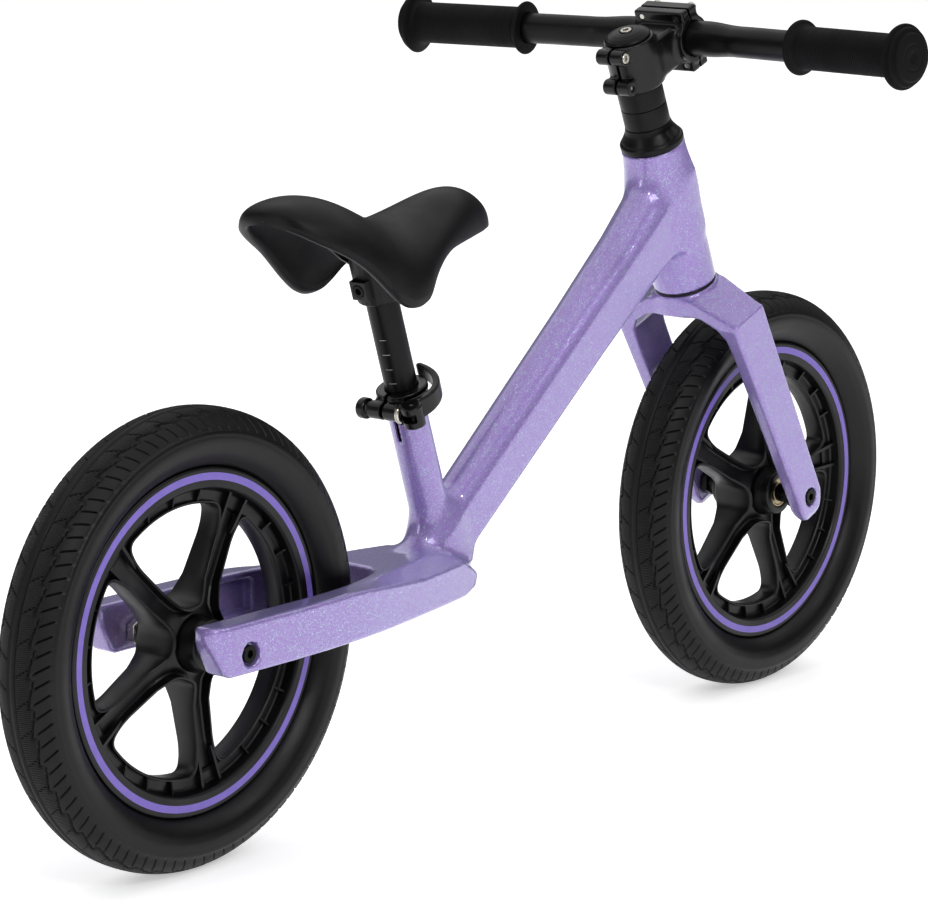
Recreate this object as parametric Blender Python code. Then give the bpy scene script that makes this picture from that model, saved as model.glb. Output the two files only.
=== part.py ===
"""Child's balance bike with 12 inch wheels, cast frame and fork, quick-release saddle height.

World frame: +X forward, +Y to the rider's left, +Z up. The origin is on the ground midway between the
wheels. Steering parts sit in a frame on the head axis (local Z up the axis, X forward); saddle parts sit
in a frame on the seat tube axis (local Z up the tube).
"""
import bmesh
import bpy
import numpy as np
from math import atan2, cos, pi, radians, sin, sqrt
from mathutils import Matrix, Vector

# ---- driving dimensions, metres ----
WHEEL_R = 0.150            # outside of the tyre
WHEELBASE = 0.627
HEAD_TILT = radians(22.0)  # head axis leans back from vertical
FORK_RAKE = 0.0206         # front axle ahead of the head axis
SEAT_TILT = radians(18.3)
GAP = 0.0003               # clearance left between separate pieces

TYRE_HALF_W = 0.0235
RIM_HALF_W = 0.0147
RIM_R = 0.1125
BEAD_SEAT_R = 0.1050
WEB_R = 0.0880             # inner edge of the shelf that carries the spokes
SPOKES = 5
REAR_SPOKE_ANGLE = radians(63.5)
FRONT_SPOKE_ANGLE = radians(7.5)
HUB_R = 0.0165
HUB_HALF = 0.0260
AXLE_R = 0.0050
BEARING_R = 0.0110
BEARING_W = 0.0060
BOLT_R = 0.0030
BOLT_HEAD_R = 0.0058

ARM_INNER = 0.0400         # rear arm faces, from the middle plane
ARM_OUTER = 0.0600
ARM_BOTTOM = 0.1376
ARM_TOP = 0.1710
LEG_INNER = 0.0420
LEG_OUTER = 0.0545

STEERER_R = 0.0143
HEAD_R = 0.0232
HEAD_BOTTOM = 0.1912       # heights along the head axis, from the level of the axle's foot
HEAD_TOP = 0.3026
CROWN_TOP = 0.1890
BIG_BEARING_R = 0.0205
BIG_BEARING_W = 0.0070
COVER_H = 0.0168
STEM_BOTTOM = 0.3500
STEM_TOP = 0.3868
STEM_R = 0.0183
STEM_REACH = 0.0470
BAR_HEIGHT = 0.3655
BAR_CLAMP_R = 0.0127
BAR_R = 0.0111
BAR_SWEEP = radians(7.9)
GRIP_IN = 0.1218
GRIP_OUT = 0.2150
GRIP_R = 0.0150

SEAT_TOP = Vector((0.2226 - WHEELBASE / 2, 0.0, WHEEL_R + 0.1120))
SEAT_TUBE_R = 0.0135
POST_R = 0.0111
POST_DEPTH = 0.0380
POST_TOP = 0.1180
SEAT_BORE_DEPTH = 0.1050
COLLAR_R = 0.0176
COLLAR_BOTTOM = 0.0055
COLLAR_H = 0.0180
SKEWER_BACK = 0.0196
SKEWER_UP = 0.0085

for ob in list(bpy.data.objects):
    bpy.data.objects.remove(ob)

AXLE_Z = WHEEL_R
REAR = Vector((-WHEELBASE / 2, 0, AXLE_Z))
FRONT = Vector((WHEELBASE / 2, 0, AXLE_Z))
HEAD_FOOT = FRONT - FORK_RAKE * Vector((cos(HEAD_TILT), 0, sin(HEAD_TILT)))
# the outlines of the frame and saddle are drawn for a 627 mm wheelbase and a 150 mm wheel radius; they
# slide with the rear axle when those change
SLIDE = Matrix.Translation(REAR - Vector((-0.3135, 0, 0.150)))


def material(name, colour, roughness, metallic=0.0):
    m = bpy.data.materials.new(name)
    m.use_nodes = True
    b = m.node_tree.nodes["Principled BSDF"]
    b.inputs["Base Color"].default_value = (*colour, 1)
    b.inputs["Roughness"].default_value = roughness
    b.inputs["Metallic"].default_value = metallic
    return m


PAINT = material("lilac_paint", (0.42, 0.30, 0.62), 0.30)
SATIN = material("satin_black", (0.025, 0.025, 0.028), 0.38, 0.3)
PLASTIC = material("black_plastic", (0.022, 0.022, 0.024), 0.42)
RUBBER = material("tyre_rubber", (0.030, 0.028, 0.027), 0.62)
GRIP = material("grip_rubber", (0.018, 0.018, 0.020), 0.70)
SKIN = material("saddle_skin", (0.020, 0.020, 0.022), 0.55)
STEEL = material("steel", (0.62, 0.62, 0.63), 0.28, 1.0)
DARK_STEEL = material("black_steel", (0.05, 0.05, 0.055), 0.34, 0.8)


def body(name, verts, faces, mat=None, parent=None, matrix=None, smooth=True):
    """Make an object from corner points and faces, with all faces turned outwards."""
    me = bpy.data.meshes.new(name)
    me.from_pydata([tuple(v) for v in verts], [], faces)
    bm = bmesh.new()
    bm.from_mesh(me)
    bmesh.ops.remove_doubles(bm, verts=bm.verts, dist=1e-6)
    bmesh.ops.recalc_face_normals(bm, faces=bm.faces)
    if bm.calc_volume(signed=True) < 0:
        bmesh.ops.reverse_faces(bm, faces=bm.faces)
    bm.to_mesh(me)
    bm.free()
    ob = bpy.data.objects.new(name, me)
    bpy.context.collection.objects.link(ob)
    if mat is not None:
        me.materials.append(mat)
    if smooth:
        me.polygons.foreach_set("use_smooth", [True] * len(me.polygons))
        me.set_sharp_from_angle(angle=radians(35))
    if matrix is not None:
        ob.matrix_world = matrix
    if parent is not None:
        ob.parent = parent
    return ob


def skin_rings(rings, closed=False):
    """Join equal rings of points into a tube; the ends are capped unless the tube closes on itself."""
    n, count = len(rings[0]), len(rings)
    verts = [p for ring in rings for p in ring]
    faces = []
    for k in range(count if closed else count - 1):
        a, b = k * n, (k + 1) % count * n
        faces += [(a + i, a + (i + 1) % n, b + (i + 1) % n, b + i) for i in range(n)]
    if not closed:
        faces += [tuple(range(n))[::-1], tuple(range((count - 1) * n, count * n))]
    return verts, faces


def turned(name, profile, mat=None, segments=16, ring=False, hexes=(), **place):
    """Turn (radius, height) points about local Z. ring=True closes the profile on itself as a hollow ring.
    Profile points listed in hexes follow a hexagon instead of a circle."""
    def at(i, r, t):
        if i in hexes:
            r = r / cos((t + pi / 6) % (pi / 3) - pi / 6)
        return r
    angles = [2 * pi * k / segments for k in range(segments)]
    if ring:
        rings = [[(at(i, r, t) * cos(t), at(i, r, t) * sin(t), z) for i, (r, z) in enumerate(profile)]
                 for t in angles]
        return body(name, *skin_rings(rings, closed=True), mat, **place)
    rings = [[(at(i, r, t) * cos(t), at(i, r, t) * sin(t), z) for t in angles]
             for i, (r, z) in enumerate(profile)]
    return body(name, *skin_rings(rings), mat, **place)


def tube(name, r_in, r_out, z0, z1, mat, segments=16, edge=0.0004, **place):
    e = edge
    profile = [(r_in, z0), (r_out - e, z0), (r_out, z0 + e), (r_out, z1 - e), (r_out - e, z1), (r_in, z1)]
    return turned(name, profile, mat, segments, ring=True, **place)


def prism(name, outline, z0, z1, mat=None, **place):
    return body(name, *skin_rings([[(x, y, z0) for x, y in outline], [(x, y, z1) for x, y in outline]]),
                mat, **place)


def box(name, low, high, mat=None, **place):
    return prism(name, [(low[0], low[1]), (high[0], low[1]), (high[0], high[1]), (low[0], high[1])],
                 low[2], high[2], mat, smooth=False, **place)


def combine(target, tool, how="DIFFERENCE"):
    """Exact Boolean with a tool that stays in the file as a hidden wire object."""
    tool.hide_render = True
    tool.display_type = "WIRE"
    m = target.modifiers.new(tool.name, "BOOLEAN")
    m.operation, m.solver, m.object = how, "EXACT", tool


def across(x, y, z):
    """Place local Z along world or parent +Y, at a point."""
    return Matrix.Translation((x, y, z)) @ Matrix.Rotation(-pi / 2, 4, "X")


def forward(x, y, z):
    """Place local Z along parent +X, at a point."""
    return Matrix.Translation((x, y, z)) @ Matrix.Rotation(pi / 2, 4, "Y")


def empty(name, matrix, parent=None):
    ob = bpy.data.objects.new(name, None)
    bpy.context.collection.objects.link(ob)
    ob.empty_display_size = 0.02
    ob.matrix_world = matrix
    ob.parent = parent
    return ob


steering = empty("steering_axis", Matrix.Translation(HEAD_FOOT) @ Matrix.Rotation(-HEAD_TILT, 4, "Y"))
seat = empty("seat_axis", Matrix.Translation(SEAT_TOP) @ Matrix.Rotation(-SEAT_TILT, 4, "Y"))
HEAD = steering.matrix_world.copy()
SEAT = seat.matrix_world.copy()

# ---- wheels ----


def wheel(side, centre, parent, first_spoke):
    """Tyre, one-piece moulded rim and two bearings, all turned about a world +Y axle line."""
    place = dict(matrix=across(*centre), parent=parent)
    w, r = RIM_HALF_W, RIM_R
    half = [(0.0055, WEB_R), (0.0060, WEB_R + 0.0085), (w, WEB_R + 0.0100), (w, r), (w - 0.0024, r),
            (w - 0.0024, BEAD_SEAT_R), (0.0060, BEAD_SEAT_R - 0.0012)]
    rim = turned(side + "_rim", [(q, y) for y, q in half] + [(q, -y) for y, q in half[::-1]], PLASTIC,
                 32, ring=True, **place)
    pocket = HUB_HALF - BEARING_W - 0.0006
    hub = turned(side + "_hub_tool", [
        (AXLE_R + 0.0016, -pocket), (BEARING_R + GAP, -pocket), (BEARING_R + GAP, -HUB_HALF),
        (HUB_R - 0.0010, -HUB_HALF), (HUB_R, -HUB_HALF + 0.0010), (HUB_R, HUB_HALF - 0.0010),
        (HUB_R - 0.0010, HUB_HALF), (BEARING_R + GAP, HUB_HALF), (BEARING_R + GAP, pocket),
        (AXLE_R + 0.0016, pocket)], None, 16, ring=True, **place)
    verts, faces = [], []
    for k in range(SPOKES):
        t = -(first_spoke + 2 * pi * k / SPOKES)
        d, s = np.array([cos(t), sin(t)]), np.array([-sin(t), cos(t)])
        rings = []
        for q, half_w, depth, web in ((0.0140, 0.0092, 0.0190, 0.0090), (0.0420, 0.0080, 0.0098, 0.0032),
                                      (0.0780, 0.0078, 0.0078, 0.0030), (0.0920, 0.0125, 0.0075, 0.0030)):
            lip = half_w - 0.0026
            section = [(-half_w, -depth), (-lip, -depth), (-lip, -web), (lip, -web), (lip, -depth),
                       (half_w, -depth), (half_w, depth), (lip, depth), (lip, web), (-lip, web),
                       (-lip, depth), (-half_w, depth)]
            rings.append([(*(d * q + s * u), y) for u, y in section])
        v, f = skin_rings(rings)
        faces += [tuple(i + len(verts) for i in face) for face in f]
        verts += v
    spokes = body(side + "_spokes_tool", verts, faces, **place)
    combine(rim, spokes, "UNION")
    combine(rim, hub, "UNION")
    bead, seat_r, T = 0.0119, BEAD_SEAT_R + 0.0006, TYRE_HALF_W
    outer = [(0.0045, WHEEL_R), (0.0150, WHEEL_R - 0.0053), (T - 0.0012, WHEEL_R - 0.0130),
             (T, WHEEL_R - 0.0190), (0.0222, 0.1235), (0.0145, r + 0.0012), (bead, r), (bead, seat_r)]
    inner = [(0.0085, seat_r), (0.0085, r + 0.0010), (0.0190, 0.1270), (0.0165, 0.1405), (0.0050, 0.1466)]
    loop = [(q, y) for y, q in outer + inner] + [(q, -y) for y, q in inner[::-1] + outer[::-1]]
    turned(side + "_tyre", loop, RUBBER, 32, ring=True, **place)
    for sign, label in ((-1, "right"), (1, "left")):
        edges = sorted((sign * (pocket + 0.0003), sign * (pocket + BEARING_W)))
        tube(side + "_bearing_" + label, AXLE_R + GAP, BEARING_R, *edges, STEEL, **place)
    return rim


def axle_set(side, centre, parent, inner, outer, recess):
    """Hollow-ended axle, spacers up to the frame, and a socket bolt through each end."""
    place = dict(matrix=across(*centre), parent=parent)
    deep = inner - 0.0150
    rod_end, bore = inner - GAP, BOLT_R + 0.0002
    turned(side + "_axle", [(bore, -deep), (bore, -rod_end), (AXLE_R, -rod_end), (AXLE_R, rod_end),
                            (bore, rod_end), (bore, deep)], DARK_STEEL, **place)
    for sign, label in ((-1, "right"), (1, "left")):
        a, m, b = HUB_HALF + GAP, inner - 0.0060, inner - GAP
        prof = [(AXLE_R + GAP, sign * a), (0.0070, sign * a), (0.0070, sign * m), (0.0090, sign * m),
                (0.0090, sign * b), (AXLE_R + GAP, sign * b)]
        turned(side + "_spacer_" + label, prof, STEEL, 18, ring=True, hexes=(3, 4), **place)
        floor = outer - recess + GAP
        tip, face = deep + 0.0030, floor + 0.0038
        prof = [(BOLT_R, tip), (BOLT_R, floor), (BOLT_HEAD_R, floor), (BOLT_HEAD_R, face - 0.0006),
                (BOLT_HEAD_R - 0.0006, face), (0.0023, face), (0.0023, face - 0.0024)]
        turned(side + "_axle_bolt_" + label, [(q, sign * z) for q, z in prof], DARK_STEEL, 12,
               hexes=(5, 6), **place)


rear_wheel_axis = empty("rear_wheel_axis", Matrix.Translation(REAR))
front_wheel_axis = empty("front_wheel_axis", Matrix.Translation((FORK_RAKE, 0, 0)), steering)
wheel("rear", (0, 0, 0), rear_wheel_axis, REAR_SPOKE_ANGLE)
wheel("front", (0, 0, 0), front_wheel_axis, FRONT_SPOKE_ANGLE - HEAD_TILT)
axle_set("rear", REAR, None, ARM_INNER, ARM_OUTER, 0.0055)
axle_set("front", (FORK_RAKE, 0, 0), steering, LEG_INNER, LEG_OUTER, 0.0045)

# ---- frame casting ----


def main_tube_ring(x, z, tilt, a, up, down):
    """Section of the main tube: a crease on each flank, a round top and a flatter underside."""
    n, half = (-sin(tilt), cos(tilt)), [(0.0, up), (0.45 * a, 0.93 * up), (0.80 * a, 0.70 * up),
                                        (a, 0.38 * up), (0.97 * a, -0.55 * down), (0.88 * a, -0.86 * down),
                                        (0.66 * a, -down), (0.0, -down)]
    pts = [(y, h) for y, h in half] + [(-y, h) for y, h in half[-2:0:-1]]
    return [(x + h * n[0], y, z + h * n[1]) for y, h in pts]


TUBE = radians(39.0)
LOW_END, HIGH_END = -0.0950, 0.1974
tube_rings = []
for x, z, a, up, down in [  # centre, half width, height above and depth below the centre
        (LOW_END, 0.1450, 0.0148, 0.0180, 0.0060), (-0.0530, 0.1785, 0.0155, 0.0225, 0.0205),
        (0.0940, 0.2980, 0.0170, 0.0245, 0.0225), (0.1450, 0.3395, 0.0185, 0.0260, 0.0235),
        (0.1700, 0.3597, 0.0198, 0.0300, 0.0240), (HIGH_END, 0.3820, 0.0205, 0.0400, 0.0240)]:
    # the low end slides with the rear axle and the high end with the front one
    share = (x - LOW_END) / (HIGH_END - LOW_END)
    slide = SLIDE.translation
    tube_rings.append(main_tube_ring(x + slide.x * (1 - 2 * share), z + slide.z, TUBE, a, up, down))
main_tube = body("main_tube_tool", *skin_rings(tube_rings))

plan_half = [(-0.3500, 0.0440), (-0.3480, 0.0540), (-0.3380, 0.0588), (-0.3200, ARM_OUTER),
             (-0.2650, ARM_OUTER), (-0.2200, 0.0578), (-0.1780, 0.0532), (-0.1200, 0.0425),
             (-0.0630, 0.0300), (-0.0480, 0.0245), (-0.0440, 0.0180)]
well_half = [(-0.1500, 0.0000), (-0.1510, 0.0160), (-0.1570, 0.0245), (-0.1780, 0.0318),
             (-0.2050, 0.0378), (-0.2350, ARM_INNER), (-0.3440, ARM_INNER)]
outline = (plan_half + [(x, -y) for x, y in plan_half[::-1]]
           + [(x, -y) for x, y in well_half[:0:-1]] + well_half)
frame = prism("frame", outline, 0.1200, 0.2000, PAINT, matrix=SLIDE)
side_view = [(-0.3300, ARM_BOTTOM), (-0.0620, ARM_BOTTOM), (-0.0480, 0.1420), (-0.0450, 0.1462),
             (-0.0500, 0.1510), (-0.0720, 0.1660), (-0.0860, ARM_TOP - 0.0010), (-0.1100, ARM_TOP),
             (-0.3450, ARM_TOP), (-0.3485, 0.1670), (-0.3350, 0.1400)]
combine(frame, prism("yoke_side_tool", side_view, -0.07, 0.07,
                     matrix=SLIDE @ Matrix.Rotation(pi / 2, 4, "X")), "INTERSECT")
soft = frame.modifiers.new("soft_edges", "BEVEL")
soft.width, soft.segments, soft.limit_method, soft.angle_limit = 0.0024, 1, "ANGLE", radians(40)
combine(frame, main_tube, "UNION")
head_tube = turned("head_tube_tool", [(HEAD_R - 0.0004, HEAD_BOTTOM), (HEAD_R, HEAD_BOTTOM + 0.0004),
                                      (HEAD_R, HEAD_TOP - 0.0004), (HEAD_R - 0.0004, HEAD_TOP)],
                   None, 28, matrix=HEAD)
combine(frame, head_tube, "UNION")


def seat_ring(t, a, b, shift=0.0):
    return [(shift + a * cos(2 * pi * k / 24), b * sin(2 * pi * k / 24), t) for k in range(24)]


seat_tube = body("seat_tube_tool", *skin_rings([
    seat_ring(-0.1080, 0.0200, 0.0210, -0.005), seat_ring(-0.0940, 0.0175, 0.0175, -0.003),
    seat_ring(-0.0780, 0.0143, 0.0142), seat_ring(-0.0600, SEAT_TUBE_R, SEAT_TUBE_R),
    seat_ring(COLLAR_BOTTOM + COLLAR_H - 0.0030, SEAT_TUBE_R, SEAT_TUBE_R)]), matrix=SEAT)
combine(frame, seat_tube, "UNION")

head_bore = turned("head_bore_tool", [
    (0.0160, HEAD_BOTTOM - 0.01), (BIG_BEARING_R + GAP, HEAD_BOTTOM - 0.01),
    (BIG_BEARING_R + GAP, HEAD_BOTTOM + BIG_BEARING_W + 0.0008), (0.0175, HEAD_BOTTOM + BIG_BEARING_W + 0.0008),
    (0.0175, HEAD_TOP - BIG_BEARING_W - 0.0008), (BIG_BEARING_R + GAP, HEAD_TOP - BIG_BEARING_W - 0.0008),
    (BIG_BEARING_R + GAP, HEAD_TOP + 0.01), (0.0160, HEAD_TOP + 0.01)][1:-1], None, 24, matrix=HEAD)
combine(frame, head_bore)
combine(frame, turned("seat_bore_tool", [(POST_R + GAP, -SEAT_BORE_DEPTH), (POST_R + GAP, 0.04)],
                      None, 20,
                      matrix=SEAT))
combine(frame, box("seat_slot_tool", (-0.03, -0.0016, -0.0130), (-0.004, 0.0016, 0.04), matrix=SEAT))
for sign in (-1, 1):
    combine(frame, turned("axle_hole_tool_%+d" % sign, [
        (BOLT_R + GAP, 0.03), (BOLT_R + GAP, ARM_OUTER - 0.0055), (0.0078, ARM_OUTER - 0.0055),
        (0.0078, 0.07)], None, 16, matrix=across(*REAR) @ Matrix.Scale(sign, 4, (0, 0, 1))))
    panel = [(-0.2960, 0.1440), (-0.2100, 0.1440), (-0.2060, 0.1480), (-0.2060, 0.1620),
             (-0.2100, 0.1660), (-0.2960, 0.1660)]
    combine(frame, prism("arm_pocket_tool_%+d" % sign, [(x, z) for x, z in panel], 0.0300, 0.0480,
                         matrix=SLIDE @ Matrix.Rotation(pi / 2, 4, "X") @ Matrix.Scale(-sign, 4, (0, 0, 1))))

# ---- fork casting: one flat-sided section swept from leg tip over the crown to the other tip ----
stations = [  # y, height, half thickness, rear and front edge
    (0.0486, -0.0185, 0.0036, 0.0150, 0.0268), (0.0484, -0.0140, 0.0058, 0.0105, 0.0310),
    (0.0483, 0.0000, 0.0060, 0.0062, 0.0352), (0.0483, 0.0500, 0.0060, 0.0005, 0.0303),
    (0.0484, 0.1100, 0.0062, -0.0110, 0.0236), (0.0488, 0.1540, 0.0064, -0.0205, 0.0172),
    (0.0440, 0.1640, 0.0068, -0.0215, 0.0160), (0.0300, 0.1735, 0.0066, -0.0220, 0.0200),
    (0.0180, 0.1800, 0.0066, -0.0222, 0.0218)]
stations += [(0.0, 0.1815, 0.0066, -0.0222, 0.0222)] + [(-s[0], *s[1:]) for s in stations[::-1]]
rings = []
for k, (y, z, half_t, back, front) in enumerate(stations):
    a, b = stations[max(k - 1, 0)], stations[min(k + 1, len(stations) - 1)]
    along = Vector((0, b[0] - a[0], b[1] - a[1])).normalized()
    out = Vector((0, -along.z, along.y))
    c, m = 0.0022, Vector((0, y, z))
    rings.append([m + out * o + Vector((x, 0, 0)) for x, o in (
        (back + c, -half_t), (front - c, -half_t), (front, -half_t + c), (front, half_t - c),
        (front - c, half_t), (back + c, half_t), (back, half_t - c), (back, -half_t + c))])
fork = body("fork", *skin_rings(rings), PAINT, parent=steering)
combine(fork, turned("crown_tool", [(0.0190, 0.1760), (HEAD_R - 0.0004, 0.1800), (HEAD_R, 0.1835),
                                    (HEAD_R - 0.0002, CROWN_TOP)], None, 28, matrix=HEAD), "UNION")
combine(fork, turned("steerer_hole_tool", [(STEERER_R + GAP, 0.1500), (STEERER_R + GAP, 0.2000)], None, 24,
                     matrix=HEAD))
for sign in (-1, 1):
    combine(fork, turned("fork_hole_tool_%+d" % sign, [
        (BOLT_R + GAP, 0.03), (BOLT_R + GAP, LEG_OUTER - 0.0045), (0.0070, LEG_OUTER - 0.0045),
        (0.0070, 0.07)], None, 16,
        matrix=HEAD @ across(FORK_RAKE, 0, 0) @ Matrix.Scale(sign, 4, (0, 0, 1))))

# ---- headset and stem, in the head frame ----
in_head = dict(parent=steering)
tube("steerer_tube", 0.0120, STEERER_R, 0.1720, STEM_TOP - 0.0020, DARK_STEEL, 24, **in_head)
tube("crown_seal", STEERER_R + GAP, HEAD_R, CROWN_TOP + GAP, HEAD_BOTTOM - GAP, PLASTIC, 24, **in_head)
tube("lower_bearing", STEERER_R + GAP, BIG_BEARING_R, HEAD_BOTTOM + 0.0004, HEAD_BOTTOM + BIG_BEARING_W,
     STEEL, 24, matrix=HEAD)
tube("upper_bearing", STEERER_R + GAP, BIG_BEARING_R, HEAD_TOP - BIG_BEARING_W, HEAD_TOP - 0.0004,
     STEEL, 24, matrix=HEAD)
s = HEAD_TOP + GAP
turned("bearing_cover", [(STEERER_R + GAP, s), (HEAD_R - 0.0008, s), (HEAD_R, s + 0.0012),
                         (HEAD_R + 0.0002, s + 0.0045), (HEAD_R - 0.0018, s + 0.0075),
                         (0.0186, s + 0.0105), (0.0170, s + 0.0135), (0.0166, s + COVER_H),
                         (STEERER_R + GAP, s + COVER_H)], SATIN, 28, ring=True, **in_head)
low = s + COVER_H + GAP
mid = (low + STEM_BOTTOM) / 2
tube("spacer_lower", STEERER_R + GAP, 0.0165, low, mid - GAP / 2, SATIN, 24, **in_head)
tube("spacer_upper", STEERER_R + GAP, 0.0165, mid + GAP / 2, STEM_BOTTOM - GAP, SATIN, 24, **in_head)

PINCH_X, PINCH_EAR = -0.0205, 0.0058
PINCH_Z = (STEM_BOTTOM + 0.0078, STEM_TOP - 0.0056)
CLAMP_BACK, CLAMP_HALF_Y = 0.0245 + 0.0050, 0.0215
stem = turned("stem", [(STEM_R - 0.0008, STEM_BOTTOM), (STEM_R, STEM_BOTTOM + 0.0008),
                       (STEM_R, STEM_TOP - 0.0008), (STEM_R - 0.0008, STEM_TOP)], SATIN, 24, **in_head)
for k, z in enumerate(PINCH_Z):
    ear = [(0.0, -PINCH_EAR), (0.0, PINCH_EAR)] + [
        (PINCH_X + PINCH_EAR * cos(t), PINCH_EAR * sin(t)) for t in np.linspace(pi / 2, 3 * pi / 2, 9)]
    combine(stem, prism("ear_tool_%d" % k, ear, -0.0115, 0.0115,
                        matrix=HEAD @ Matrix.Translation((0, 0, z)) @ Matrix.Rotation(pi / 2, 4, "X")), "UNION")
neck = [[(0.0060, y * 0.0165, BAR_HEIGHT + z * 0.0165) for y, z in ((-1, -.9), (1, -.9), (1, 1), (-1, 1))],
        [(STEM_REACH - 0.0210, y * 0.0150, BAR_HEIGHT + z * 0.0150) for y, z in ((-1, -.9), (1, -.9), (1, 1), (-1, 1))],
        [(STEM_REACH - 0.0148, y * 0.0150, BAR_HEIGHT + z * 0.0150) for y, z in ((-1, -.9), (1, -.9), (1, 1), (-1, 1))]]
combine(stem, body("neck_tool", *skin_rings(neck), matrix=HEAD), "UNION")
BOLT_Y, BOLT_Z = 0.0150, 0.0186
CLAMP_R = BAR_CLAMP_R + 0.0038


def clamp_side(name, mat, front, **place):
    """Half of the handlebar clamp, split on the plane through the bar's centre: front=1 is the faceplate."""
    arc = [(CLAMP_R * sin(t), CLAMP_R * cos(t)) for t in np.linspace(0, pi, 11)]
    pts = [(GAP * 2, BOLT_Z + 0.0046), (0.0070, BOLT_Z + 0.0046), (0.0092, BOLT_Z + 0.0010)]
    pts += [(x, z) for x, z in arc if abs(z) < BOLT_Z - 0.0050]
    pts += [(0.0092, -BOLT_Z - 0.0010), (0.0070, -BOLT_Z - 0.0046), (GAP * 2, -BOLT_Z - 0.0046)]
    bore = [(BAR_CLAMP_R + GAP) * Vector((sin(t), cos(t))) for t in np.linspace(pi - 0.05, 0.05, 13)]
    pts += [(max(p.x, GAP * 2), p.y) for p in bore]
    return prism(name, [(front * x, z) for x, z in pts], -CLAMP_HALF_Y, CLAMP_HALF_Y, mat,
                 matrix=place.get("matrix", Matrix.Identity(4)) @ Matrix.Translation(
                     (STEM_REACH, 0, BAR_HEIGHT)) @ Matrix.Rotation(pi / 2, 4, "X"),
                 parent=place.get("parent"))


combine(stem, clamp_side("clamp_back_tool", None, -1, matrix=HEAD), "UNION")
faceplate = clamp_side("faceplate", SATIN, 1, parent=steering)
combine(stem, turned("stem_bore_tool", [(STEERER_R + GAP, STEM_BOTTOM - 0.01),
                                        (STEERER_R + GAP, STEM_TOP + 0.01)], None, 24, matrix=HEAD))
combine(stem, box("stem_slit_tool", (-0.04, -0.0010, STEM_BOTTOM - 0.01), (-0.008, 0.0010, STEM_TOP + 0.01),
                  matrix=HEAD))
for k, (z, sign) in enumerate(zip(PINCH_Z, (1, -1))):
    combine(stem, turned("pinch_hole_tool_%d" % k, [
        (0.0022, -0.02), (0.0022, 0.0078), (0.0042, 0.0078), (0.0042, 0.02)], None, 16,
        matrix=HEAD @ across(PINCH_X, 0, z) @ Matrix.Scale(sign, 4, (0, 0, 1))))
    turned(("lower", "upper")[k] + "_pinch_bolt", [(q, sign * h) for q, h in (
        (0.0019, -0.0118), (0.0019, 0.0081), (0.0038, 0.0081), (0.0038, 0.0118), (0.0016, 0.0118),
        (0.0016, 0.0098))], STEEL, 12, hexes=(4, 5), matrix=across(PINCH_X, 0, z), parent=steering)
for k, (y, z) in enumerate(((-1, 1), (1, 1), (-1, -1), (1, -1))):
    x0 = STEM_REACH
    spot = (x0, y * BOLT_Y, BAR_HEIGHT + z * BOLT_Z)
    for part in (stem, faceplate):
        combine(part, turned("bolt_hole_tool_%s_%d" % (part.name, k),
                             [(0.0022, -0.02), (0.0022, 0.02)], None, 16, matrix=HEAD @ forward(*spot)))
    turned("faceplate_bolt_%d" % (k + 1), [
        (0.0019, -0.0085), (0.0019, 0.0102), (0.0036, 0.0102), (0.0036, 0.0132), (0.0015, 0.0132),
        (0.0015, 0.0114)], STEEL, 12, hexes=(4, 5), matrix=forward(*spot), parent=steering)

cap_z = STEM_TOP + GAP
turned("top_cap", [(0.0026, cap_z), (0.0165, cap_z), (0.0168, cap_z + 0.0008), (0.0150, cap_z + 0.0028),
                   (0.0110, cap_z + 0.0045), (0.0060, cap_z + 0.0054), (0.0046, cap_z + 0.0054),
                   (0.0046, cap_z + 0.0032), (0.0026, cap_z + 0.0032)], SATIN, 24, ring=True, **in_head)
turned("top_cap_bolt", [(0.0022, cap_z - 0.0200), (0.0022, cap_z + 0.0035), (0.0042, cap_z + 0.0035),
                        (0.0042, cap_z + 0.0060), (0.0036, cap_z + 0.0064), (0.0018, cap_z + 0.0064),
                        (0.0018, cap_z + 0.0045)], STEEL, 18, hexes=(5, 6), **in_head)
tube("steerer_anchor", 0.0025, 0.0117, cap_z - 0.0180, cap_z - 0.0080, STEEL, **in_head)

# ---- handlebar and grips ----


def bar_place(y):
    """Centre of the bar at a sideways distance: straight in the clamp, swept back outside it."""
    out = max(abs(y) - 0.030, 0.0)
    return Vector((STEM_REACH - out * sin(BAR_SWEEP) * cos(HEAD_TILT), (min(abs(y), 0.030)
                   + out * cos(BAR_SWEEP)) * (1 if y >= 0 else -1), BAR_HEIGHT + out * sin(BAR_SWEEP)
                   * sin(HEAD_TILT)))


BAR_END = GRIP_OUT + 0.0030
bar_y = [-BAR_END, -0.130, -0.060, -0.036, -0.026, 0.0, 0.026, 0.036, 0.060, 0.130, BAR_END]
rings = []
for y in bar_y:
    f = min(max((abs(y) - 0.036) / 0.024, 0), 1)
    r = BAR_CLAMP_R + (BAR_R - BAR_CLAMP_R) * f
    d = (bar_place(y + 0.001) - bar_place(y - 0.001)).normalized()
    u = Vector((d.y, -d.x, 0)).normalized()
    v = u.cross(d)
    rings.append([bar_place(y) + r * (u * cos(k * pi / 10) + v * sin(k * pi / 10)) for k in range(20)])
handlebar = body("handlebar", *skin_rings(rings), SATIN, parent=steering)
for y in (-BAR_END, BAR_END):
    end = bar_place(y)
    direction = (bar_place(y) - bar_place(y * 0.8)).normalized()
    m = Matrix.Translation(end) @ direction.to_track_quat("Z", "X").to_matrix().to_4x4()
    combine(handlebar, turned("bar_bore_tool_%+.0f" % np.sign(y), [(0.0093, -0.1500), (0.0093, 0.01)], None, 16,
                              matrix=HEAD @ m))
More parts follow.
